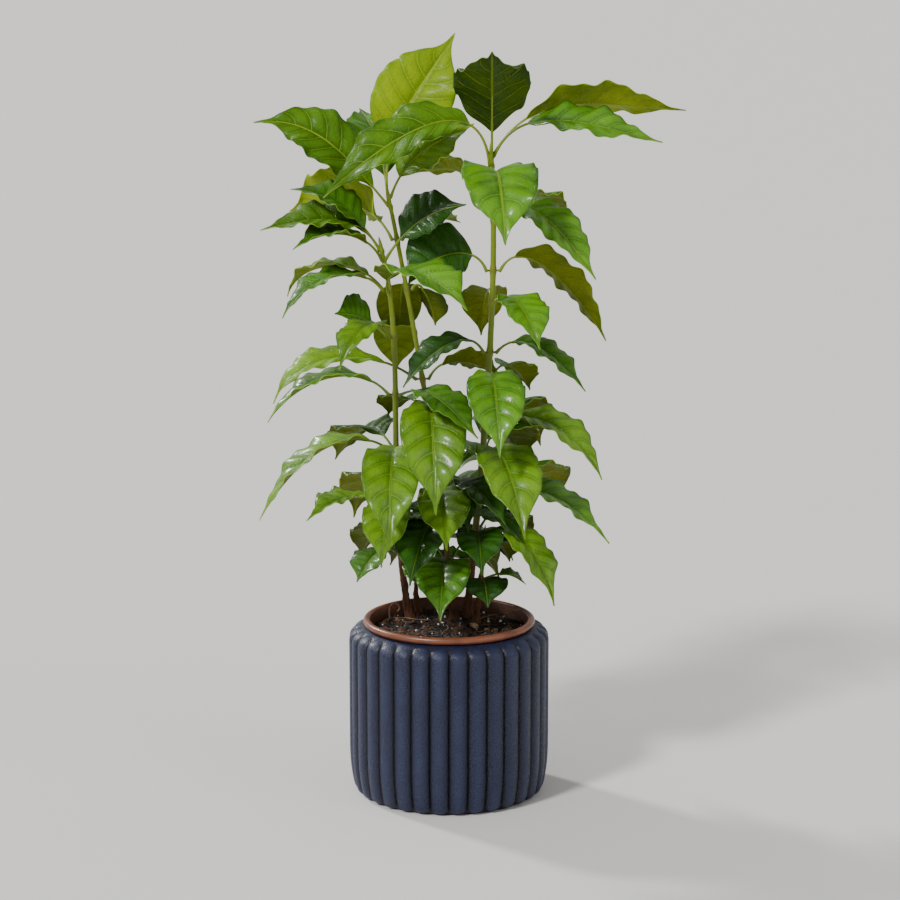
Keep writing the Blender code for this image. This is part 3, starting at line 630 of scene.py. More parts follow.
def leaf_body(rings, tip):
    """Close a leaf's rings into a body of triangles.

    The upper and lower faces are split along the same diagonals, so that a waved blade
    keeps its thickness.
    """
    points = [point for ring in rings for point in ring] + [tip]
    last = len(points) - 1
    faces = [[0, 2, 1], [0, 3, 2]]
    for row in range(len(rings) - 1):
        for side in range(4):
            low = row * 4 + side
            after = row * 4 + (side + 1) % 4
            if side < 2:
                faces += [[low, after, after + 4], [low, after + 4, low + 4]]
            else:
                faces += [[low, after, low + 4], [after, after + 4, low + 4]]
    for side in range(4):
        faces.append([last - 4 + side, last - 4 + (side + 1) % 4, last])
    return points, faces


def solid_tree(points, faces):
    """Return a search tree of a body, for finding what touches it."""
    return BVHTree.FromPolygons([tuple(point) for point in points], faces)


def leaf_trees(one, root, radius, phase, swell=0.0):
    """Return search trees of a whole leaf and of its blade alone."""
    rings, tip = leaf_rings(one, root, radius, phase, swell)
    return [solid_tree(*leaf_body(part, tip)) for part in (rings, rings[STALK_RINGS:])]


def rear_leaf(rng, order, height):
    """Return a leaf for the back of the plant, by rule."""
    side = 1.0 if order % 2 else -1.0
    reach = rng.uniform(*REAR_SIZES) * REAR_REACHES[height > REAR_LOW]
    rise = -reach * rng.uniform(*REAR_DROPS)
    width = reach * rng.uniform(*REAR_WIDTHS)
    return leaf(90.0 + side * REAR_SPREAD * rng.uniform(*REAR_TURNS), reach, rise,
                rng.uniform(*REAR_LIFTS), rng.uniform(*REAR_NODS), width,
                roll=rng.uniform(*REAR_ROLLS))


@functools.lru_cache
def grow():
    """Settle every leaf and return, for each spray, its placed leaves.

    The first leaf of each spray is placed before any second one. A leaf that would touch
    a limb or a leaf gives way by the smallest nudge that clears it, and is left out where
    none does.
    """
    rng = random.Random(SEED)
    stem_trees = {name: solid_tree(*tube(stem_rings(name))) for name in STEMS}
    wanted = {spray.name: list(spray.leaves) for spray in SPRAYS}
    for spray in SPRAYS:
        for order in range(spray.rear):
            height = spray.height or STEMS[spray.stem].tip[2]
            wanted[spray.name].append(rear_leaf(rng, order + len(spray.name), height))
    phases = {spray.name: [rng.uniform(0.0, 2.0 * math.pi) for _ in wanted[spray.name]]
              for spray in SPRAYS}
    sprays = {spray.name: [] for spray in SPRAYS}
    hubs = {}
    for spray in SPRAYS:
        stem = STEMS[spray.stem]
        hub = collar(stem, spray.height) if spray.height else crown_twig(stem)
        hubs[spray.name] = solid_tree(*hub)
    placed = []
    for order in range(max(len(leaves) for leaves in wanted.values())):
        for spray in SPRAYS:
            if order >= len(wanted[spray.name]):
                continue
            found = settle(spray, wanted[spray.name][order], order,
                           phases[spray.name][order], stem_trees, hubs, placed)
            if found:
                sprays[spray.name].append(found)
    return sprays


def settle(spray, one, order, phase, stem_trees, hubs, placed):
    """Return one leaf at its first clear place, or None."""
    stem = STEMS[spray.stem]
    root = leaf_root(spray, order)
    radius = stem_radius(stem, spray.height) if spray.height else 0.0
    for turn, lift in NUDGES:
        trial = one._replace(turn=one.turn + turn, rise=one.rise + lift)
        whole, blade = leaf_trees(trial, root, radius, phase, CLEARANCE)
        if any(tree.overlap(blade if name == spray.stem else whole)
               for name, tree in stem_trees.items()):
            continue
        if any(tree.overlap(blade if name == spray.name else whole)
               for name, tree in hubs.items()):
            continue
        if any(other_blade.overlap(blade) if name == spray.name else other.overlap(whole)
               for name, other, other_blade in placed):
            continue
        placed.append((spray.name, *leaf_trees(trial, root, radius, phase)))
        tones = SPRAY_TONES[spray.name].split()
        tone = tones[order] if order < len(tones) else REAR_TONES[root.z > REAR_LOW]
        return Placed(trial, root, radius, phase, tone)
    return None


# ---------------------------------------------------------------- settings

def length(name, text, value):
    """Return a length property."""
    return FloatProperty(name=name, description=text, default=value, unit="LENGTH", precision=5)


def colour(name, text, value):
    """Return a colour property."""
    return FloatVectorProperty(name=name, description=text, default=value, subtype="COLOR",
                               size=3, min=0.0, max=1.0)


class PotSettings(bpy.types.PropertyGroup):
    """Sizes and colours of the outer pot."""

    reeds: IntProperty(name="Reeds", description="Convex reeds round the pot", default=32)
    groove_radius: length("Groove radius", "Radius of the wall between reeds", 0.0743)
    reed_depth: length("Reed depth", "How far a reed stands out", 0.0039)
    foot_radius: length("Foot radius", "Radius of the flat underside", 0.0675)
    tuck: length("Tuck", "How far the wall draws in at the foot", 0.0050)
    tuck_height: length("Tuck height", "Height over which the wall draws in", 0.042)
    shoulder: length("Shoulder", "Radius of the rounded shoulder", 0.0107)
    mouth_radius: length("Mouth radius", "Radius of the opening", 0.0632)
    glaze: colour("Glaze", "Colour of the reeds", (0.0044, 0.0080, 0.034))
    # The crest colour is a painted highlight on the reeds' crests; it also tints the lighter
    # specks.
    crest_highlight_and_speck: colour("Wear", "Colour of the rubbed crests", (0.0145, 0.0230, 0.073))
    # The pit colour is painted shade in the grooves; it also darkens the pits.
    groove_shade_and_pit: colour("Pits", "Colour of the grooves and pits", (0.0012, 0.002, 0.009))


class LinerSettings(bpy.types.PropertyGroup):
    """Sizes and colours of the nursery liner."""

    lip_centre: length("Lip centre", "Radius of the rolled lip's centre line", 0.0642)
    lip_radius: length("Lip radius", "Radius of the rolled lip's section", 0.0028)
    base_radius: length("Base radius", "Outer radius of the base", 0.0500)
    wall: length("Wall", "Thickness of the wall", 0.0012)
    copper: colour("Copper", "Colour of the lip", (0.215, 0.066, 0.026))
    shade: colour("Shade", "Darker mottling", (0.110, 0.030, 0.012))


class SoilSettings(bpy.types.PropertyGroup):
    """Sizes, numbers and colours of the potting soil."""

    relief: length("Relief", "Height of the surface's lumps", 0.0024)
    chips: IntProperty(name="Bark chips", description="Pieces of bark", default=1900)
    chip_size: length("Chip size", "Length of a usual chip", 0.0036)
    grains: IntProperty(name="Perlite", description="White grains", default=70)
    fibres: IntProperty(name="Fibres", description="Loose fibres", default=70)
    dark: colour("Dark", "Damp peat", (0.0055, 0.0036, 0.0026))
    light: colour("Light", "Drier peat", (0.032, 0.017, 0.0095))
    bark: colour("Bark", "Colour of the bark chips", (0.070, 0.029, 0.0135))


class StemSettings(bpy.types.PropertyGroup):
    """Sizes and colours of the stems and leaf stalks."""

    bark_height: length("Bark height", "How far up the corky bark reaches", 0.050)
    bark_relief: length("Bark relief", "Depth of the bark's cracks", 0.00045)
    node_swell: length("Node swell", "How far a node stands out", 0.0007)
    bark: colour("Bark", "Colour of the corky bark", (0.125, 0.048, 0.020))
    crack: colour("Crack", "Colour in the bark's cracks", (0.030, 0.014, 0.008))
    green: colour("Green", "Colour of the green stem", (0.105, 0.155, 0.004))
    young: colour("Young", "Colour of the stalks", (0.230, 0.300, 0.006))


class LeafSettings(bpy.types.PropertyGroup):
    """Sizes of the leaf blades."""

    veins: IntProperty(name="Side veins", description="Pairs of side veins", default=8)
    quilt: length("Quilting", "How far the blade bulges between veins", 0.0017)
    crinkle: length("Crinkle", "Height of the margin's small waves", 0.0011)
    groove: length("Groove", "Depth of the midrib's groove", 0.00045)
    thickness: length("Thickness", "Thickness of the blade", 0.0006)
    roughness: FloatProperty(name="Roughness", description="Roughness of the upper face",
                             default=0.42, min=0.0, max=1.0)


class StageSettings(bpy.types.PropertyGroup):
    """Floor, light and camera."""

    floor: colour("Floor", "Colour of the floor", (0.70, 0.69, 0.67))
    sky: FloatProperty(name="Sky", description="Strength of the even light", default=0.50)
    key: FloatProperty(name="Key light", description="Strength of the main light", default=2.6)
    rim: FloatProperty(name="Rim light", description="Strength of the light behind",
                       default=2.2)
    fill: FloatProperty(name="Fill light", description="Strength of the light at the right",
                        default=0.35)
    focal: FloatProperty(name="Focal length", description="Focal length in millimetres",
                         default=105.64)


# ---------------------------------------------------------------- shader helpers

class Wire:
    """A value in a material. Python's operators on it add Math nodes."""

    def __init__(self, finish, socket):
        self.finish = finish
        self.socket = socket

    def maths(self, operation, *others):
        """Return what a Math node makes of this value and others."""
        node = self.finish.add("ShaderNodeMath", {"operation": operation},
                               dict(enumerate((self, *others))))
        return Wire(self.finish, node.outputs[0])

    def __rsub__(self, other):
        node = self.finish.add("ShaderNodeMath", {"operation": "SUBTRACT"}, {0: other, 1: self})
        return Wire(self.finish, node.outputs[0])

    __add__ = __radd__ = functools.partialmethod(maths, "ADD")
    __mul__ = __rmul__ = functools.partialmethod(maths, "MULTIPLY")
    __sub__ = functools.partialmethod(maths, "SUBTRACT")
    __truediv__ = functools.partialmethod(maths, "DIVIDE")
    __pow__ = functools.partialmethod(maths, "POWER")
    __lt__ = functools.partialmethod(maths, "LESS_THAN")
    __abs__ = functools.partialmethod(maths, "ABSOLUTE")
    fraction = functools.partialmethod(maths, "FRACT")

    def ease(self, low, high):
        """Return 0 below low and 1 above high, with a smooth rise between."""
        node = self.finish.add("ShaderNodeMapRange", {"interpolation_type": "SMOOTHSTEP"},
                               {"Value": self, "From Min": low, "From Max": high})
        return Wire(self.finish, node.outputs["Result"])


class Finish:
    """A Principled material and the nodes that paint it."""

    def __init__(self, name, **sockets):
        self.material = bpy.data.materials.new(name)
        self.material.use_nodes = True
        self.tree = self.material.node_tree
        self.shader = self.tree.nodes["Principled BSDF"]
        self.object_place = None
        for socket, value in sockets.items():
            self.shader.inputs[socket.replace("_", " ")].default_value = value

    def add(self, kind, settings=None, sockets=None):
        """Add a node with its settings, and with its sockets set or linked."""
        node = self.tree.nodes.new(kind)
        for key, value in (settings or {}).items():
            setattr(node, key, value)
        for key, value in (sockets or {}).items():
            if isinstance(value, Wire):
                self.tree.links.new(value.socket, node.inputs[key])
            else:
                node.inputs[key].default_value = value
        return node

    def place(self):
        """Return the object coordinates."""
        if self.object_place is None:
            node = self.add("ShaderNodeTexCoord")
            self.object_place = Wire(self, node.outputs["Object"])
        return self.object_place

    def stretched(self, vector, scale):
        """Return a vector times a scale for each axis."""
        node = self.add("ShaderNodeVectorMath", {"operation": "MULTIPLY"},
                        {0: vector, 1: scale})
        return Wire(self, node.outputs[0])

    def split(self, vector):
        """Return the three numbers of a vector."""
        node = self.add("ShaderNodeSeparateXYZ", None, {0: vector})
        return [Wire(self, socket) for socket in node.outputs]

    def noise(self, scale, detail=3.0, vector=None):
        """Return even noise from about 0.2 to 0.8."""
        node = self.add("ShaderNodeTexNoise", None,
                        {"Vector": vector or self.place(), "Scale": scale, "Detail": detail})
        return Wire(self, node.outputs[0])

    def cells(self, scale, vector=None):
        """Return how far a point is from the edges of a net of cells."""
        node = self.add("ShaderNodeTexVoronoi", {"feature": "DISTANCE_TO_EDGE"},
                        {"Vector": vector or self.place(), "Scale": scale})
        return Wire(self, node.outputs["Distance"])

    def mix(self, share, first, second):
        """Blend two colours."""
        colours = [tone if isinstance(tone, Wire) else (*tone, 1.0) for tone in (first, second)]
        node = self.add("ShaderNodeMix", {"data_type": "RGBA"},
                        {0: share, 6: colours[0], 7: colours[1]})
        return Wire(self, node.outputs[2])

    def feed(self, socket, wire):
        """Link a value to the shader."""
        self.tree.links.new(wire.socket, self.shader.inputs[socket])

    def skin(self, tint, roughness, height, distance, strength):
        """Feed a colour, a roughness and a bump to the shader, and return the material."""
        self.feed("Base Color", tint)
        self.feed("Roughness", roughness)
        node = self.add("ShaderNodeBump", None,
                        {"Height": height, "Distance": distance, "Strength": strength})
        self.feed("Normal", Wire(self, node.outputs["Normal"]))
        return self.material


# ---------------------------------------------------------------- mesh helpers

def read(items, key, size, kind=np.float32):
    """Return a property of many items as one row of numbers."""
    found = np.empty(size, kind)
    items.foreach_get(key, found)
    return found


def grid_object(name, columns, rows, place, closed=True, span=WHOLE):
    """Add a grid and move its points.

    place turns arrays of u and v, from 0 to 1, into points. A closed grid is wrapped, its
    seam and poles are merged, and it takes a span of the bake map.
    """
    bpy.ops.object.select_all(action="DESELECT")
    bpy.ops.mesh.primitive_grid_add(x_subdivisions=columns, y_subdivisions=rows, size=1.0)
    made = bpy.context.object
    made.name = name
    mesh = made.data
    mesh.name = name
    flat = read(mesh.vertices, "co", len(mesh.vertices) * 3).reshape(-1, 3).astype(float)
    u = np.rint((flat[:, 0] + 0.5) * columns) / columns
    v = np.rint((flat[:, 1] + 0.5) * rows) / rows
    mesh.vertices.foreach_set("co", place(u, v).astype(np.float32).ravel())
    mesh.update()
    if closed:
        bpy.ops.object.mode_set(mode="EDIT")
        bpy.ops.mesh.select_all(action="SELECT")
        bpy.ops.mesh.remove_doubles(threshold=MERGE)
        bpy.ops.mesh.normals_make_consistent(inside=False)
        bpy.ops.object.mode_set(mode="OBJECT")
    bpy.ops.object.shade_smooth()
    mesh.uv_layers[0].name = LEAF_MAP
    if closed:
        left, right = span
        bake_map(made, map_places(made) * (right - left, 1.0) + (left, 0.0))
    return made


def bake_map(made, places):
    """Give a piece a second map, in which no two faces lie on each other."""
    layer = made.data.uv_layers.new(name=BAKE_MAP)
    layer.uv.foreach_set("vector", places.astype(np.float32).ravel())


def map_places(made):
    """Return the places of a piece's own map, one row for each corner."""
    corners = made.data.uv_layers[LEAF_MAP].uv
    return read(corners, "vector", len(corners) * 2).reshape(-1, 2)


def joined(name, parts):
    """Join objects into one piece."""
    bpy.ops.object.select_all(action="DESELECT")
    for part in parts:
        part.select_set(True)
    bpy.context.view_layer.objects.active = parts[0]
    if len(parts) > 1:
        bpy.ops.object.join()
    parts[0].name = name
    parts[0].data.name = name
    return parts[0]


def scattered(name, shapes, spots):
    """Copy small shapes in turn to many spots and join them as one piece."""
    copies = []
    for order, spot in enumerate(spots):
        copy = shapes[order % len(shapes)].copy()
        copy.data = copy.data.copy()
        copy.data.transform(spot)
        bpy.context.scene.collection.objects.link(copy)
        copies.append(copy)
    for shape in shapes:
        bpy.data.objects.remove(shape, do_unlink=True)
    return joined(name, copies)


def picked(rows, v):
    """Return the columns of a table, with one of its rows for each v from 0 to 1."""
    return rows[np.rint(v * (len(rows) - 1)).astype(int)].T


def turned(radius, turn, height):
    """Return the points at given radii, turns in radians and heights."""
    return np.column_stack((radius * np.cos(turn), radius * np.sin(turn), height))


def settle_piece(made, finish, slot, *nodes):
    """Finish a piece, let it ride on the body and stand for its nodes.

    finish is None for a piece that has its finishes already.
    """
    if finish:
        made.data.materials.append(finish)
    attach(made, BODY)
    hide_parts(*nodes)


# ---------------------------------------------------------------- pot, liner and soil

def reeded_rows(settings):
    """Return the pot's rows from under its foot to its cavity's floor.

    Each row is a height, a radius, a place along the reeds' domed ends from 0, full, to
    1, none, and the slope of the surface.
    """
    def side(height):
        drop = max(0.0, 1.0 - height / settings.tuck_height)
        return settings.groove_radius - settings.tuck * drop ** TUCK_POWER

    rows = [(0.0, 0.0, 1.0, 0.0), (0.0, 0.5 * settings.foot_radius, 1.0, 0.0),
            (0.0, settings.foot_radius, 1.0, 0.0)]
    for height, out, end in FOOT_ROWS:
        rows.append((height, settings.foot_radius + (side(height) - settings.foot_radius) * out,
                     end, 0.0))
    high = POT_HIGH.z - settings.shoulder
    low = FOOT_ROWS[-1][0]
    for step in range(1, SIDE_ROWS + 1):
        height = low + (high - low) * step / SIDE_ROWS
        rows.append((height, side(height), 0.0, 0.0))
    ring = settings.groove_radius - settings.shoulder
    first, last = REED_END_ANGLES
    angles = [first * step / TURN_ROWS for step in range(1, TURN_ROWS)]
    angles += [first + (last - first) * math.sin(0.5 * math.pi * step / DOME_ROWS)
               for step in range(DOME_ROWS + 1)]
    angles += [last + (90.0 - last) * step / BROW_ROWS for step in range(1, BROW_ROWS + 1)]
    for angle in angles:
        turn = math.radians(angle)
        end = min(1.0, max(0.0, (angle - first) / (last - first)))
        rows.append((high + settings.shoulder * math.sin(turn),
                     ring + settings.shoulder * math.cos(turn), end, angle))
    mouth = settings.mouth_radius
    top = POT_HIGH.z
    rows += [(top, mouth + 0.0003, 1.0, 90.0), (top - 0.0002, mouth + 0.0001, 1.0, 90.0),
             (top - 0.0008, mouth, 1.0, 90.0), (high, mouth, 1.0, 90.0),
             (high - CAVITY_CORNER, CAVITY_RADIUS, 1.0, 90.0),
             (POT_FLOOR + CAVITY_CORNER, CAVITY_RADIUS, 1.0, 90.0),
             (POT_FLOOR, CAVITY_RADIUS - CAVITY_CORNER, 1.0, 90.0),
             (POT_FLOOR, 0.0, 1.0, 90.0)]
    return np.array(rows)


def shape_pot(settings):
    """Make the reeded pot as one closed skin."""
    rows = reeded_rows(settings)

    def place(u, v):
        height, radius, end, slope = picked(rows, v)
        step = u * settings.reeds
        reed = np.floor(step + REED_ROUNDING)
        across = -np.cos(math.pi * (step - reed))
        turn = 2.0 * math.pi * (reed + 0.5 * (across + 1.0)) / settings.reeds
        proud = np.sqrt(np.maximum(0.0, 1.0 - across ** 2 - end ** 2))
        radius = radius + np.cos(np.radians(slope)) * settings.reed_depth * proud
        return turned(radius, turn, height)

    return grid_object("reeded_pot", settings.reeds * REED_COLUMNS, len(rows) - 1, place)


def shape_liner(settings):
    """Make the nursery liner, with a rolled lip that is a little uneven."""
    lip_height = POT_HIGH.z + GAP + settings.lip_radius
    base = LINER_LOW.z
    rows = [(base, 0.0), (base, settings.base_radius)]
    for step in range(LIP_POINTS + 1):
        turn = math.radians(LIP_TURN * (2.0 * step / LIP_POINTS - 1.0))
        rows.append((lip_height + settings.lip_radius * math.sin(turn),
                     settings.lip_centre + settings.lip_radius * math.cos(turn)))
    inner_height, inner_radius = rows[-1]
    floor = base + 2.0 * settings.wall
    for step in range(1, WALL_ROWS + 1):
        share = step / WALL_ROWS
        rows.append((inner_height + (floor - inner_height) * share,
                     inner_radius + (settings.base_radius - settings.wall - inner_radius) * share))
    rows.append((floor, 0.0))
    rows = np.array(rows)

    def place(u, v):
        height, radius = picked(rows, v)
        turn = 2.0 * math.pi * u
        high = smooth_rise(height, POT_HIGH.z, lip_height)
        radius = radius + LIP_UNEVEN * high * (np.sin(3.0 * turn + 0.8)
                                               + 0.6 * np.sin(7.0 * turn))
        return turned(radius, turn, height)

    return grid_object("copper_liner", LINER_COLUMNS, len(rows) - 1, place)


def smooth_rise(value, low, high):
    """Ease an array from 0 below low to 1 above high."""
    held = np.clip((value - low) / (high - low), 0.0, 1.0)
    return held * held * (3.0 - 2.0 * held)


def ground(x, y, relief):
    """Return the height of the lumpy soil at a place."""
    broad = noise.fractal(Vector((x, y, 0.3)) * 45.0, 0.9, 2.0, 3)
    fine = noise.fractal(Vector((x, y, 5.1)) * 240.0, 0.8, 2.0, 3)
    edge = smooth_step((math.hypot(x, y) - SOIL_EDGE) / SOIL_EDGE_WIDTH)
    return SOIL_TOP + relief * (0.9 * broad + 0.45 * fine) * (1.0 - 0.5 * edge) - SOIL_SETTLE


def shape_soil(settings):
    """Make the soil: a plug with a lumpy top."""
    top_radius = 0.5 * (SOIL_HIGH.x - SOIL_LOW.x) + SOIL_LAP
    rows = [(0.0, 0), (SOIL_BASE, 0)]
    rows += [(top_radius * (1.0 - step / SOIL_ROWS), 1) for step in range(SOIL_ROWS + 1)]
    rows = np.array(rows)

    def place(u, v):
        radius, upper = picked(rows, v)
        turn = 2.0 * math.pi * (u % 1.0)
        x = radius * np.cos(turn)
        y = radius * np.sin(turn)
        height = np.array([ground(east, north, settings.relief) if top else SOIL_LOW.z
                           for east, north, top in zip(x, y, upper)])
        return np.column_stack((x, y, height))

    return grid_object("soil_top", SOIL_COLUMNS, len(rows) - 1, place)


def chip_shape(rng, stretch):
    """Make one rough chip."""
    bpy.ops.object.select_all(action="DESELECT")
    bpy.ops.mesh.primitive_ico_sphere_add(subdivisions=1, radius=0.5)
    made = bpy.context.object
    for vertex in made.data.vertices:
        vertex.co *= rng.uniform(0.72, 1.2)
        vertex.co = Vector([part * size for part, size in zip(vertex.co, stretch)])
    return made


def soil_spots(rng, count, size, relief, flat, sink=0.15, spread=SOIL_SPREAD):
    """Return matrices that lay small shapes on the soil."""
    spots = []
    while len(spots) < count:
        turn = rng.uniform(0.0, 2.0 * math.pi)
        out = spread * math.sqrt(rng.random())
        x = out * math.cos(turn)
        y = out * math.sin(turn)
        long = size * rng.lognormvariate(0.0, SIZE_SPREAD)
        lean = Euler((rng.gauss(0.0, flat), rng.gauss(0.0, flat),
                      rng.uniform(0.0, 2.0 * math.pi)))
        high = ground(x, y, relief) + long * (0.16 - sink)
        spots.append(Matrix.LocRotScale(Vector((x, y, high)), lean,
                                        Vector((long, long, long))))
    return spots


def lay(name, shapes, spots, finish):
    """Lay small shapes on the soil as one finished piece."""
    settle_piece(scattered(name, shapes, spots), finish, "soil", "soil")


def fibre_shape(rng):
    """Make one thin curved fibre of unit length."""
    bend = rng.uniform(-0.5, 0.5)
    lift = rng.uniform(0.02, 0.16)
    line = [(share - 0.5, bend * (share - 0.5) ** 2 + 0.05 * math.sin(7.0 * share),
             lift * math.sin(math.pi * share)) for share in np.linspace(0.0, 1.0, FIBRE_POINTS)]
    return tube_object("fibre", line, [0.0, *[FIBRE_RADIUS] * (FIBRE_POINTS - 2), 0.0], 5)


# ---------------------------------------------------------------- stems and stalks

def tube_object(name, line, radii, columns, span=WHOLE):
    """Make a closed tube along a line.

    radii holds one radius for each point of the line, or one for each point and column.
    """
    line = np.array([tuple(point) for point in line])
    along = np.gradient(line, axis=0)
    along /= np.linalg.norm(along, axis=1)[:, None]
    side = np.cross(along[0], (0.31, 0.94, 0.12))
    sides = []
    for way in along:
        side = side - way * side.dot(way)
        side /= np.linalg.norm(side)
        sides.append(side)
    sides = np.array(sides)
    ups = np.cross(along, sides)
    radii = np.array(radii, float)
    if radii.ndim == 1:
        radii = np.repeat(radii[:, None], columns + 1, axis=1)

    def place(u, v):
        row = np.rint(v * (len(line) - 1)).astype(int)
        column = np.rint(u * columns).astype(int)
        turn = 2.0 * math.pi * (column % columns) / columns
        radius = radii[row, column % columns]
        return (line[row] + sides[row] * (radius * np.cos(turn))[:, None]
                + ups[row] * (radius * np.sin(turn))[:, None])

    return grid_object(name, columns, len(line) - 1, place, span=span)


def shape_stem(name, settings):
    """Make a stem with swollen nodes and cracked bark at its foot."""
    stem = STEMS[name]
    foot = stem.foot[2] - STEM_SINK
    heights = np.linspace(foot, stem.tip[2], STEM_ROWS)
    nodes = collar_heights(name)
    line = [stem_centre(stem, max(height, stem.foot[2])) for height in heights]
    rings = []
    radii = np.zeros((STEM_ROWS, STEM_COLUMNS + 1))
    for row, height in enumerate(heights):
        line[row].z = height
        ring = max([math.exp(-((height - node) / NODE_SPAN) ** 2) for node in nodes] + [0.0])
        rings.append(ring)
        bark = 1.0 - smooth_step((height - stem.foot[2]) / settings.bark_height - 0.4)
        for column in range(STEM_COLUMNS):
            out = heading(360.0 * column / STEM_COLUMNS)
            spot = Vector((out.x * 2.2, out.y * 2.2, height * 190.0))
            crack = noise.fractal(spot, 0.8, 2.0, 4)
            knob = max(0.0, noise.noise(Vector((out.x, out.y, height * 85.0)) * 1.3))
            radii[row, column] = (stem_radius(stem, max(height, stem.foot[2]))
                                  + settings.node_swell * ring
                                  + settings.bark_relief * bark * (crack + 2.4 * knob)
                                  + CRACK_DEPTH * crack)
    radii[0] = 0.0
    radii[-1] = 0.0
    made = tube_object(name + "_bark", line, radii, STEM_COLUMNS)
    scar = made.data.attributes.new("scar", "FLOAT", "POINT")
    centres = np.array([vertex.co.z for vertex in made.data.vertices])
    scar.data.foreach_set("value", np.interp(centres, heights, rings).astype(np.float32))
    return made


def shape_stalk(placed, span):
    """Make a leaf's stalk, which runs on under the blade as its midrib."""
    one = placed.leaf
    knots, _, stalk = leaf_frames(one, placed.root, leaf_start(placed.radius))
    first = placed.root + heading(one.turn + one.swing) * max(0.0, placed.radius - STALK_INSET)
    line = [first]
    radii = [0.0]
    for place in np.concatenate((np.linspace(0.0, stalk, 9),
                                 np.linspace(stalk, 0.985, RIB_ROWS)[1:])):
        centre, _, top = blade_frame(one, knots, stalk, place)
        share = (place - stalk) / (1.0 - stalk)
        if share <= 0.0:
            radius = RIB_RADIUS + STALK_FLARE * (1.0 - place / stalk) ** 4
        else:
            radius = RIB_RADIUS - RIB_TAPER * share ** 0.6
        under = 0.85 * radius * smooth_step(share / 0.05)
        line.append(centre - top * under)
        radii.append(radius)
    radii[-1] = 0.0
    return tube_object("stalk", line, radii, 8, span)


def shape_crown(name, span):
    """Make the twig on a stem's tip, which ends in a pointed bud."""
    stem = STEMS[name]
    axis = crown_axis(stem)
    radius = stem_radius(stem, stem.tip[2])
    start = Vector(stem.tip) - axis * BUD_SINK
    length = CROWN_STEP * CROWN_PAIRS + BUD_SINK
    line = []
    radii = []
    for share in np.linspace(0.0, 1.0, BUD_ROWS):
        line.append(start + axis * (length + CROWN_BUD) * share)
        reach = share * (length + CROWN_BUD)
        bud = max(0.0, (reach - length) / CROWN_BUD)
        swell = BUD_SWELL * max(
            math.exp(-((reach - CROWN_STEP * (pair + CROWN_FIRST) - BUD_SINK)
                       / BUD_SWELL_SPAN) ** 2) for pair in range(CROWN_PAIRS))
        radii.append(radius * (1.0 - 0.25 * share) * (1.0 - bud ** 2.2) + swell)
    radii[0] = 0.0
    radii[-1] = 0.0
    return tube_object("crown", line, radii, 12, span)


# ---------------------------------------------------------------- leaf blades

def vein_phase(across, share, veins):
    """Return how far along the row of side veins a place is: whole numbers on a vein.

    across and share are arrays, or values in a material.
    """
    wide = abs(across)
    spread = 0.35 + 0.65 * (4.0 * share * (1.0 - share)) ** 0.6
    sweep = (VEIN_SWEEP[0] * wide + VEIN_SWEEP[1] * (wide * wide)) * spread
    return veins * (share - sweep) + VEIN_STAGGER * (across < 0.0)


def shape_blade(placed, settings):
    """Make one leaf's blade: folded, waved, and quilted between its side veins."""
    one = placed.leaf
    knots, _, stalk = leaf_frames(one, placed.root, leaf_start(placed.radius))
    rows = np.linspace(0.0, 1.0, BLADE_ROWS + 1)
    centres, sides, tops = [np.array(part) for part in zip(*[
        blade_frame(one, knots, stalk, stalk + (1.0 - stalk) * share) for share in rows])]
    halves = np.array([blade_half_width(share, one.width) for share in rows])
    halves *= 1.0 - 0.30 * np.maximum(0.0, 1.0 - rows / 0.25) ** 2
    halves = np.minimum(halves, TIP_HALF + 0.5 * one.width * 2.6 * (1.0 - rows) ** 0.9)
    body = np.array([smooth_step(half / WAVE_HALF_WIDTH) for half in halves])
    calm = min(1.0, (one.reach / FULL_REACH) ** 1.5)
    beat = 2.0 * math.pi * WAVES * rows + placed.phase
    fold = math.radians(FOLD)
    rng = random.Random(round(placed.phase * 1e6))
    curl = rng.uniform(*CURLS)

    def place(u, v):
        row = np.rint(v * BLADE_ROWS).astype(int)
        across = 1.0 - 2.0 * u
        wide = np.abs(across)
        half = halves[row]
        small = half / USUAL_HALF
        lag = np.where(across > 0.0, 0.0, WAVE_LAG)
        phase = vein_phase(across, v, settings.veins)
        between = np.abs(np.sin(math.pi * phase))
        hang = (1.0 - np.exp(-((wide * half) / HANG_WIDTH) ** 2)) * (1.0 - wide ** 5)
        height = half * math.sin(fold) * (1.90 * wide - 0.90 * wide ** 2)
        height += one.wave * calm ** 0.7 * np.sin(beat[row] + lag) * body[row] * wide ** 1.6
        height += settings.crinkle * calm * np.sin(2.0 * math.pi * phase + 0.6) * (
            math.sqrt(one.wave / USUAL_WAVE)) * small * wide ** 3
        height += settings.quilt * calm * small * (between ** 0.7 - 0.5) * hang
        height += curl * wide ** 4 * small
        height -= settings.groove * np.exp(-((wide * half) / GROOVE_WIDTH) ** 2) * (
            np.minimum(1.0, half / GROOVE_FADE))
        return (centres[row] + sides[row] * (across * half * math.cos(fold))[:, None]
                + tops[row] * height[:, None])

    return grid_object("blade", BLADE_COLUMNS, BLADE_ROWS, place, closed=False)


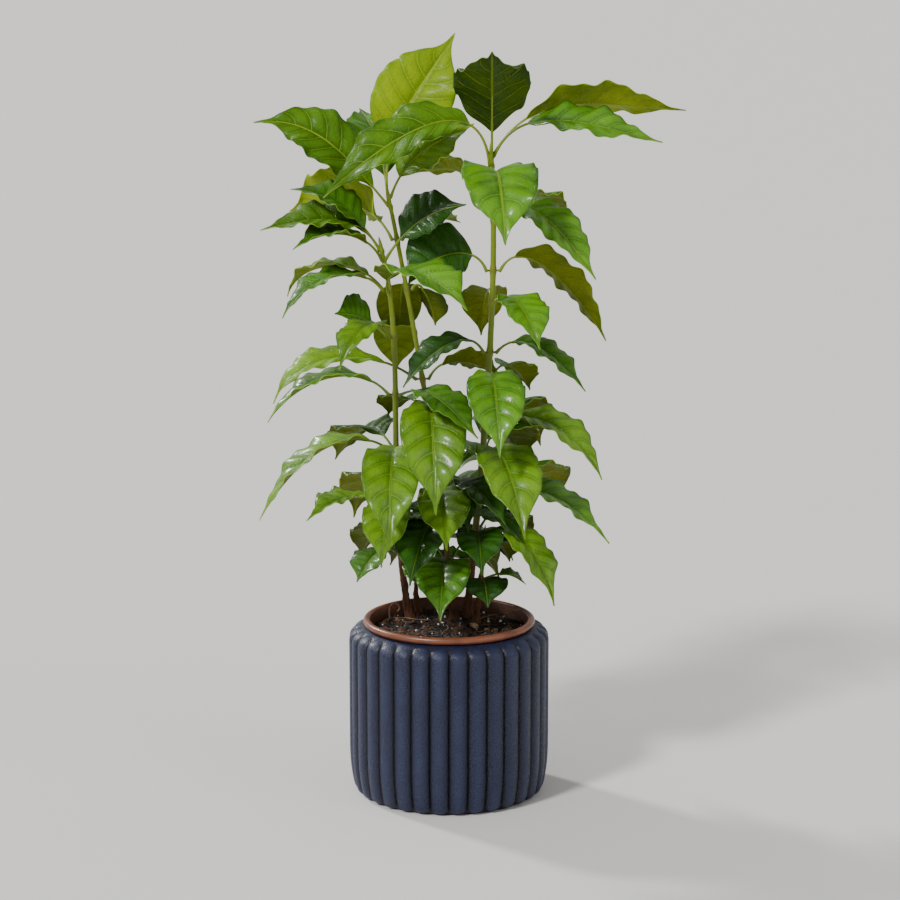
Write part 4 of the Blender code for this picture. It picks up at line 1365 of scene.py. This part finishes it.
def finish_blade(made, span, finishes, settings):
    """Give a blade its thickness, its finishes and its own place in the bake map."""
    for finish in finishes:
        made.data.materials.append(finish)
    count = len(made.data.vertices)
    wall = made.modifiers.new("wall", "SOLIDIFY")
    wall.thickness = settings.thickness
    wall.offset = -1.0
    wall.material_offset = 1
    wall.material_offset_rim = 2
    bpy.ops.object.modifier_apply(modifier=wall.name)
    mesh = made.data
    faces = mesh.polygons
    corners = read(mesh.loops, "vertex_index", len(mesh.loops), np.int32)
    kinds = read(faces, "material_index", len(faces), np.int32)
    kinds = kinds.repeat(read(faces, "loop_total", len(faces), np.int32))
    places = map_places(made)
    lower = corners >= count
    rim = (kinds == 2) & lower
    ways = np.where(places < 0.001, -1.0, 0.0) + np.where(places > 0.999, 1.0, 0.0)
    places = BAKE_MARGIN + BAKE_SPAN * places + ways * rim[:, None] * RIM_SPAN
    low = np.where(kinds == 1, 0.0, 0.5)
    left, right = span
    bake_map(made, np.column_stack((left + (right - left) * places[:, 0],
                                    low + 0.5 * places[:, 1])))


# ---------------------------------------------------------------- finishes

def ceramic(settings):
    """Return the pot's matte glaze: pitted, with a painted highlight on the reeds' crests and
    painted shade in the grooves.
    """
    finish = Finish("navy_ceramic", Roughness=0.45, Specular_IOR_Level=0.50)
    x, y, z = finish.split(finish.place())
    step = (y.maths("ARCTAN2", x) * (settings.reeds / (2.0 * math.pi))).fraction()
    across = abs(step * 2.0 - 1.0)
    low = 1.0 - z.ease(POT_HIGH.z - 0.002, POT_HIGH.z - 0.0005)
    # groove marks where painted shade darkens the grooves, crest where a painted highlight
    # lightens the crests.
    groove = across.ease(0.62, 0.98) * low
    crest = (1.0 - across.ease(0.10, 0.75)) * low
    cloud = finish.noise(38.0, 4.0)
    speck = finish.noise(600.0, 4.0)
    pits = 1.0 - finish.noise(800.0, 2.0).ease(0.36, 0.46)
    # Painted highlight on the crests, plus lighter specks in the glaze.
    crest_highlight_and_speck_share = crest * (0.40 + 0.50 * cloud.ease(0.35, 0.65)) + speck.ease(0.52, 0.70) * 0.18
    base = finish.mix(crest_highlight_and_speck_share, settings.glaze, settings.crest_highlight_and_speck)
    # Painted shade in the grooves, plus darker pits.
    dark = groove * 0.92 + pits * 0.28
    leather = finish.cells(520.0)
    even = 1.0 - 0.65 * z.ease(POT_HIGH.z - settings.shoulder, POT_HIGH.z - 0.003)
    relief = leather.ease(0.0, 0.30) * 0.35 + speck * 0.6 - pits * 0.7
    return finish.skin(finish.mix(dark, base, settings.groove_shade_and_pit), 0.34 + 0.12 * cloud + 0.12 * speck,
                       relief * even, 0.0006, 0.85)


def copper(settings):
    """Return the liner's finish: satin copper-brown plastic with soil dust inside."""
    finish = Finish("copper_liner", Roughness=0.34, Specular_IOR_Level=0.6)
    x, y, _ = finish.split(finish.place())
    cloud = finish.noise(60.0, 4.0)
    fine = finish.noise(700.0, 3.0)
    out = (x * x + y * y) ** 0.5
    inside = 1.0 - out.ease(settings.lip_centre - 0.0040, settings.lip_centre - 0.0015)
    dust = inside * (0.35 + 0.5 * finish.noise(260.0, 4.0).ease(0.4, 0.6))
    base = finish.mix(cloud.ease(0.35, 0.70) * 0.8, settings.copper, settings.shade)
    return finish.skin(finish.mix(dust, base, (0.030, 0.016, 0.010)),
                       0.30 + 0.10 * cloud + 0.30 * dust,
                       fine * 0.6 + cloud * 0.4, 0.00030, 0.35)


def peat(settings):
    """Return the soil's finish: damp peat, crumbly and uneven."""
    finish = Finish("peat", Roughness=0.9)
    crumbs = finish.noise(520.0, 5.0)
    broad = finish.noise(60.0, 3.0)
    grit = finish.cells(420.0)
    share = crumbs.ease(0.45, 0.75) * 0.7 + broad.ease(0.5, 0.75) * 0.3
    return finish.skin(finish.mix(share, settings.dark, settings.light), 0.78 + 0.2 * crumbs,
                       crumbs * 0.7 + grit.ease(0.0, 0.3) * 0.5, 0.0016, 0.9)


def bark_chip(settings):
    """Return the bark chips' finish."""
    finish = Finish("bark_chip", Roughness=0.8)
    kind = finish.noise(95.0, 1.0).ease(0.38, 0.66)
    grain = finish.noise(700.0, 4.0)
    base = finish.mix(kind, settings.dark, settings.bark)
    # Lighter flecks along the grain, which also stand in as painted highlights on the chips.
    flecks_and_highlights = finish.mix(grain.ease(0.50, 0.75) * 0.5, base, (0.125, 0.062, 0.032))
    return finish.skin(flecks_and_highlights, 0.62 + 0.3 * grain, grain, 0.0006, 0.8)


def perlite():
    """Return the white grains' finish."""
    finish = Finish("perlite", Roughness=0.85)
    stain = finish.noise(300.0, 3.0)
    stained = finish.mix(stain.ease(0.5, 0.8) * 0.6, (0.68, 0.66, 0.61), (0.22, 0.15, 0.10))
    return finish.skin(stained, 0.75 + 0.2 * stain, finish.noise(1500.0, 3.0), 0.0004, 0.8)


def fibre(name, dark, light):
    """Return the finish of dry fibres."""
    finish = Finish(name, Roughness=0.8)
    shade = finish.noise(140.0, 3.0)
    return finish.skin(finish.mix(shade.ease(0.35, 0.65), dark, light), 0.7 + 0.2 * shade,
                       finish.noise(1200.0, 2.0), 0.0003, 0.6)


def stem_bark(settings):
    """Return the stems' finish: corky and cracked at the foot, green above."""
    finish = Finish("stem_bark", Roughness=0.6, Specular_IOR_Level=0.4)
    z = finish.split(finish.place())[2]
    blotch = finish.noise(42.0, 4.0)
    streak = finish.noise(260.0, 4.0, finish.stretched(finish.place(), (1.0, 1.0, 0.16)))
    cracks = finish.noise(330.0, 5.0, finish.stretched(finish.place(), (1.0, 1.0, 0.30)))
    scar = finish.add("ShaderNodeAttribute", {"attribute_name": "scar"})
    ring = Wire(finish, scar.outputs["Fac"])
    base = SOIL_TOP + settings.bark_height
    woody = 1.0 - (z + blotch * 0.09).ease(base + 0.015, base + 0.11)
    higher = z.ease(0.24, 0.42)
    bark = finish.mix(cracks.ease(0.50, 0.66) * 0.75, settings.bark, settings.crack)
    bark = finish.mix(streak.ease(0.52, 0.72) * 0.45, bark, (0.24, 0.135, 0.075))
    green = finish.mix(streak.ease(0.40, 0.70) * 0.5, settings.green, (0.085, 0.120, 0.012))
    green = finish.mix(higher * 0.7, green, settings.young)
    marked = finish.mix(ring.ease(0.55, 0.95) * 0.5, finish.mix(woody, green, bark),
                        (0.155, 0.105, 0.030))
    return finish.skin(marked, 0.42 + 0.35 * woody + 0.12 * streak,
                       cracks * woody + streak * 0.25, 0.0007, 0.8)


def stalk_skin(settings):
    """Return the stalks' finish: smooth pale green, yellower high up."""
    finish = Finish("stalk_skin", Roughness=0.4, Specular_IOR_Level=0.5)
    z = finish.split(finish.place())[2]
    patch = finish.noise(55.0, 3.0)
    base = finish.mix(z.ease(0.28, 0.46), (0.085, 0.165, 0.004), settings.young)
    patched = finish.mix(patch.ease(0.45, 0.70) * 0.45, base, (0.060, 0.110, 0.003))
    return finish.skin(patched, 0.36 + 0.14 * patch, finish.noise(600.0, 2.0), 0.0003, 0.4)


def leaf_lines(finish, settings):
    """Return a leaf's midrib, side veins, fine net and painted panel light masks from its own map.
    """
    own = finish.add("ShaderNodeUVMap", {"uv_map": LEAF_MAP})
    u, share, _ = finish.split(Wire(finish, own.outputs["UV"]))
    across = 1.0 - 2.0 * u
    wide = abs(across)
    near = abs(vein_phase(across, share, settings.veins).fraction() - 0.5) * 2.0
    ends = share.ease(0.0, 0.06) * (1.0 - share.ease(0.86, 0.97))
    veins = near.ease(0.920, 0.990) * (1.0 - wide.ease(0.72, 0.98)) * ends
    # Painted light and shade of the quilting: lighter on the panels between the side veins, darker
    # beside the veins.
    painted_panel_light = (1.0 - near.ease(0.35, 0.98)) * (1.0 - wide.ease(0.75, 1.0)) * wide.ease(0.02, 0.2)
    width = 0.030 + 0.10 * share.ease(0.70, 1.0) + 0.12 * (1.0 - share.ease(0.0, 0.10))
    midrib = 1.0 - (wide / width).ease(0.55, 1.25)
    net_place = finish.stretched(Wire(finish, own.outputs["UV"]), (9.0, 22.0, 1.0))
    net = 1.0 - finish.cells(1.6, net_place).ease(0.0, 0.10)
    return midrib, veins, net, painted_panel_light


def leaf_upper(name, tone, settings):
    """Return a leaf's glossy upper face."""
    finish = Finish(name, Specular_IOR_Level=tone.specular, Coat_Roughness=0.20)
    midrib, veins, net, painted_panel_light = leaf_lines(finish, settings)
    cloud = finish.noise(26.0, 3.0)
    fine = finish.noise(420.0, 3.0)
    # The panel mask lifts the colour toward the bright end as a painted highlight between the
    # veins.
    share = cloud.ease(0.34, 0.66) * 0.48 + painted_panel_light * 0.42 + fine.ease(0.4, 0.7) * 0.10
    base = finish.mix(share, tone.deep, tone.bright)
    base = finish.mix(net * 0.10, base, tone.vein)
    base = finish.mix(veins * 0.55, base, tone.vein)
    finish.feed("Coat Weight", tone.gloss * (1.0 - 0.6 * veins))
    return finish.skin(finish.mix(midrib * 0.92, base, tone.vein),
                       settings.roughness - 0.04 + 0.12 * fine + 0.10 * veins,
                       net * -0.40 + veins * -0.20 + fine * 0.40, 0.00050, 0.85)


def leaf_under(name, tone, settings):
    """Return a leaf's duller underside, where the veins stand out."""
    finish = Finish(name, Specular_IOR_Level=0.18)
    midrib, veins, net, painted_panel_light = leaf_lines(finish, settings)
    cloud = finish.noise(26.0, 3.0)
    # The panel mask adds a little painted light on the underside's panels too.
    base = finish.mix(cloud.ease(0.34, 0.66) * 0.7 + painted_panel_light * 0.15, tone.under_deep,
                      tone.under_bright)
    base = finish.mix(net * 0.16, base, tone.vein)
    return finish.skin(finish.mix(veins * 0.62 + midrib * 0.38, base, UNDER_VEIN),
                       0.48 + 0.12 * cloud, net * 0.35 + veins, 0.0008, 0.9)


def leaf_edge_painted_rim_light(name, tone):
    """Return the thin rim of a leaf, pale with a painted rim light."""
    finish = Finish(name, Roughness=0.45)
    patch = finish.noise(120.0, 2.0)
    return finish.skin(finish.mix(patch.ease(0.3, 0.7) * 0.5, tone.vein, tone.bright),
                       0.40 + 0.10 * patch, patch, 0.0002, 0.3)


def floor_finish(settings):
    """Return the floor's plain finish."""
    finish = Finish("plain_floor", Roughness=0.85)
    finish.feed("Base Color", finish.mix(finish.noise(3.0, 2.0) * 0.06, settings.floor,
                                         (0.5, 0.5, 0.5)))
    return finish.material


# ---------------------------------------------------------------- operators

class COFFEE_OT_stage(bpy.types.Operator):
    """Lay the floor and set the lights and the camera"""

    bl_idname = "coffee.stage"
    bl_label = "Stage"

    def execute(self, context):
        settings = context.scene.coffee_stage
        bpy.ops.object.select_all(action="DESELECT")
        bpy.ops.mesh.primitive_grid_add(x_subdivisions=FLOOR_CELLS, y_subdivisions=FLOOR_CELLS,
                                        size=FLOOR_SIZE)
        floor = context.object
        floor.name = "floor"
        floor.data.transform(Matrix.Translation((0.0, 0.0, POT_LOW.z)))
        floor.data.materials.append(floor_finish(settings))
        world = bpy.data.worlds.new("even_light")
        world.use_nodes = True
        backdrop = world.node_tree.nodes["Background"]
        backdrop.inputs["Color"].default_value = SKY_COLOUR
        backdrop.inputs["Strength"].default_value = settings.sky
        context.scene.world = world
        for name, place, size in LAMPS:
            lamp = bpy.data.lights.new(name, "SUN")
            lamp.angle = math.radians(size)
            lamp.energy = getattr(settings, name)
            lamp_object = bpy.data.objects.new(name, lamp)
            lamp_object.location = place
            lamp_object.rotation_euler = Vector(place).to_track_quat("Z", "Y").to_euler()
            context.scene.collection.objects.link(lamp_object)
        camera = bpy.data.cameras.new("camera")
        camera.lens = settings.focal
        camera.sensor_width = SENSOR_WIDTH
        camera_object = bpy.data.objects.new("camera", camera)
        camera_object.location = CAMERA_PLACE
        camera_object.rotation_euler = (math.radians(CAMERA_TILT), 0.0, 0.0)
        context.scene.collection.objects.link(camera_object)
        context.scene.camera = camera_object
        return {"FINISHED"}


class COFFEE_OT_pot(bpy.types.Operator):
    """Make the reeded outer pot"""

    bl_idname = "coffee.pot"
    bl_label = "Outer pot"

    def execute(self, context):
        settings = context.scene.coffee_pot
        settle_piece(shape_pot(settings), ceramic(settings), "ceramic", "outer_pot")
        return {"FINISHED"}


class COFFEE_OT_liner(bpy.types.Operator):
    """Make the nursery liner"""

    bl_idname = "coffee.liner"
    bl_label = "Nursery liner"

    def execute(self, context):
        settings = context.scene.coffee_liner
        settle_piece(shape_liner(settings), copper(settings), "liner", "nursery_liner")
        return {"FINISHED"}


class COFFEE_OT_soil(bpy.types.Operator):
    """Make the soil with its bark, white grains and fibres"""

    bl_idname = "coffee.soil"
    bl_label = "Soil"

    def execute(self, context):
        settings = context.scene.coffee_soil
        rng = random.Random(SEED)
        relief = settings.relief
        settle_piece(shape_soil(settings), peat(settings), "soil", "soil")
        chips = [chip_shape(rng, stretch) for stretch in CHIP_STRETCHES]
        spots = soil_spots(rng, settings.chips, settings.chip_size, relief, 0.45)
        lay("soil_bark", chips, spots, bark_chip(settings))
        grains = [chip_shape(rng, stretch) for stretch in GRAIN_STRETCHES]
        spots = soil_spots(rng, settings.grains, GRAIN_SIZE, relief, 1.0, sink=-0.1)
        lay("soil_perlite", grains, spots, perlite())
        strands = [fibre_shape(rng) for _ in range(FIBRE_SHAPES)]
        spots = soil_spots(rng, settings.fibres, FIBRE_LENGTH, relief, 0.10, sink=0.1,
                           spread=FIBRE_SPREAD)
        lay("soil_fibres", strands, spots,
            fibre("fibre", (0.07, 0.036, 0.018), (0.24, 0.14, 0.075)))
        lumps = [chip_shape(rng, stretch) for stretch in CORK_STRETCHES]
        spots = []
        for x, y, size, turn in CORK_LUMPS:
            high = ground(x, y, relief) + CORK_RISE * size
            spots.append(Matrix.LocRotScale(Vector((x, y, high)), Euler((*CORK_LEAN, turn)),
                                            Vector((size, size, size))))
        lay("soil_cork", lumps, spots, fibre("cork", (0.16, 0.085, 0.045), (0.42, 0.27, 0.16)))
        x, y = TWIG_PLACE
        low = Vector((x, y, ground(x, y, relief)))
        line = [low + Vector(part) for part in TWIG_LINE]
        radii = [TWIG_RADIUS - TWIG_THINNING * step for step in range(len(line) - 2)]
        twig = tube_object("dry_twig", line, [0.0, *radii, 0.0], 8)
        settle_piece(twig, fibre("dry_wood", (0.11, 0.055, 0.030), (0.30, 0.18, 0.10)), "soil",
                     "soil")
        return {"FINISHED"}


class COFFEE_OT_stems(bpy.types.Operator):
    """Make the stems"""

    bl_idname = "coffee.stems"
    bl_label = "Stems"

    def execute(self, context):
        settings = context.scene.coffee_stem
        finish = stem_bark(settings)
        for name in STEMS:
            settle_piece(shape_stem(name, settings), finish, "stem", name)
        return {"FINISHED"}


class COFFEE_OT_stalks(bpy.types.Operator):
    """Make the leaf stalks, the midribs and the twigs with their buds"""

    bl_idname = "coffee.stalks"
    bl_label = "Stalks and buds"

    def execute(self, context):
        finish = stalk_skin(context.scene.coffee_stem)
        sprays = grow()
        for stem in STEMS:
            own = [spray for spray in SPRAYS if spray.stem == stem]
            leaves = [placed for spray in own for placed in sprays[spray.name]]
            count = len(leaves) + 1
            parts = [shape_stalk(placed, (order / count, (order + STALK_FILL) / count))
                     for order, placed in enumerate(leaves)]
            parts.append(shape_crown(stem, ((count - 1) / count, 1.0)))
            settle_piece(joined(stem + "_stalks", parts), finish, "stem",
                         *[spray.name for spray in own])
        return {"FINISHED"}


class COFFEE_OT_blades(bpy.types.Operator):
    """Make the leaf blades, one piece for each pair or whorl"""

    bl_idname = "coffee.blades"
    bl_label = "Leaf blades"

    def execute(self, context):
        settings = context.scene.coffee_leaf
        finishes = {word: (leaf_upper(word + "_leaf_upper", tone, settings),
                           leaf_under(word + "_leaf_under", tone, settings),
                           # The edge finish paints a pale rim light along each leaf's margin.
                           leaf_edge_painted_rim_light(word + "_leaf_edge", tone))
                    for word, tone in TONES.items()}
        for spray, leaves in grow().items():
            parts = []
            for order, placed in enumerate(leaves):
                made = shape_blade(placed, settings)
                span = (order / len(leaves), (order + 1) / len(leaves))
                finish_blade(made, span, finishes[placed.tone], settings)
                parts.append(made)
            slot = "young_leaf" if leaves[0].root.z > YOUNG_HEIGHT else "old_leaf"
            settle_piece(joined(spray + "_blades", parts), None, slot, spray)
        return {"FINISHED"}


class COFFEE_PT_panel(bpy.types.Panel):
    """List the steps that build the plant"""

    bl_idname = "COFFEE_PT_panel"
    bl_label = "Potted coffee plant"
    bl_space_type = "VIEW_3D"
    bl_region_type = "UI"
    bl_category = "Coffee plant"

    def draw(self, context):
        for kind in OPERATORS:
            self.layout.operator(kind.bl_idname)
        for word in SETTINGS:
            group = getattr(context.scene, word)
            box = self.layout.box()
            for key in group.bl_rna.properties.keys():
                if key not in ("rna_type", "name"):
                    box.prop(group, key)


OPERATORS = (COFFEE_OT_stage, COFFEE_OT_pot, COFFEE_OT_liner, COFFEE_OT_soil, COFFEE_OT_stems,
             COFFEE_OT_stalks, COFFEE_OT_blades)
SETTINGS = {
    "coffee_stage": StageSettings,
    "coffee_pot": PotSettings,
    "coffee_liner": LinerSettings,
    "coffee_soil": SoilSettings,
    "coffee_stem": StemSettings,
    "coffee_leaf": LeafSettings,
}


def register():
    """Register the settings, the operators and the panel."""
    for word, group in SETTINGS.items():
        bpy.utils.register_class(group)
        setattr(bpy.types.Scene, word, PointerProperty(type=group))
    for kind in (*OPERATORS, COFFEE_PT_panel):
        bpy.utils.register_class(kind)


def unregister():
    """Take them away again."""
    for kind in reversed((*OPERATORS, COFFEE_PT_panel)):
        bpy.utils.unregister_class(kind)
    for word, group in SETTINGS.items():
        delattr(bpy.types.Scene, word)
        bpy.utils.unregister_class(group)


def main():
    """Build everything."""
    register()
    for step in ("stage", "pot", "liner", "soil", "stems", "stalks", "blades"):
        getattr(bpy.ops.coffee, step)()


if __name__ == "__main__":
    main()
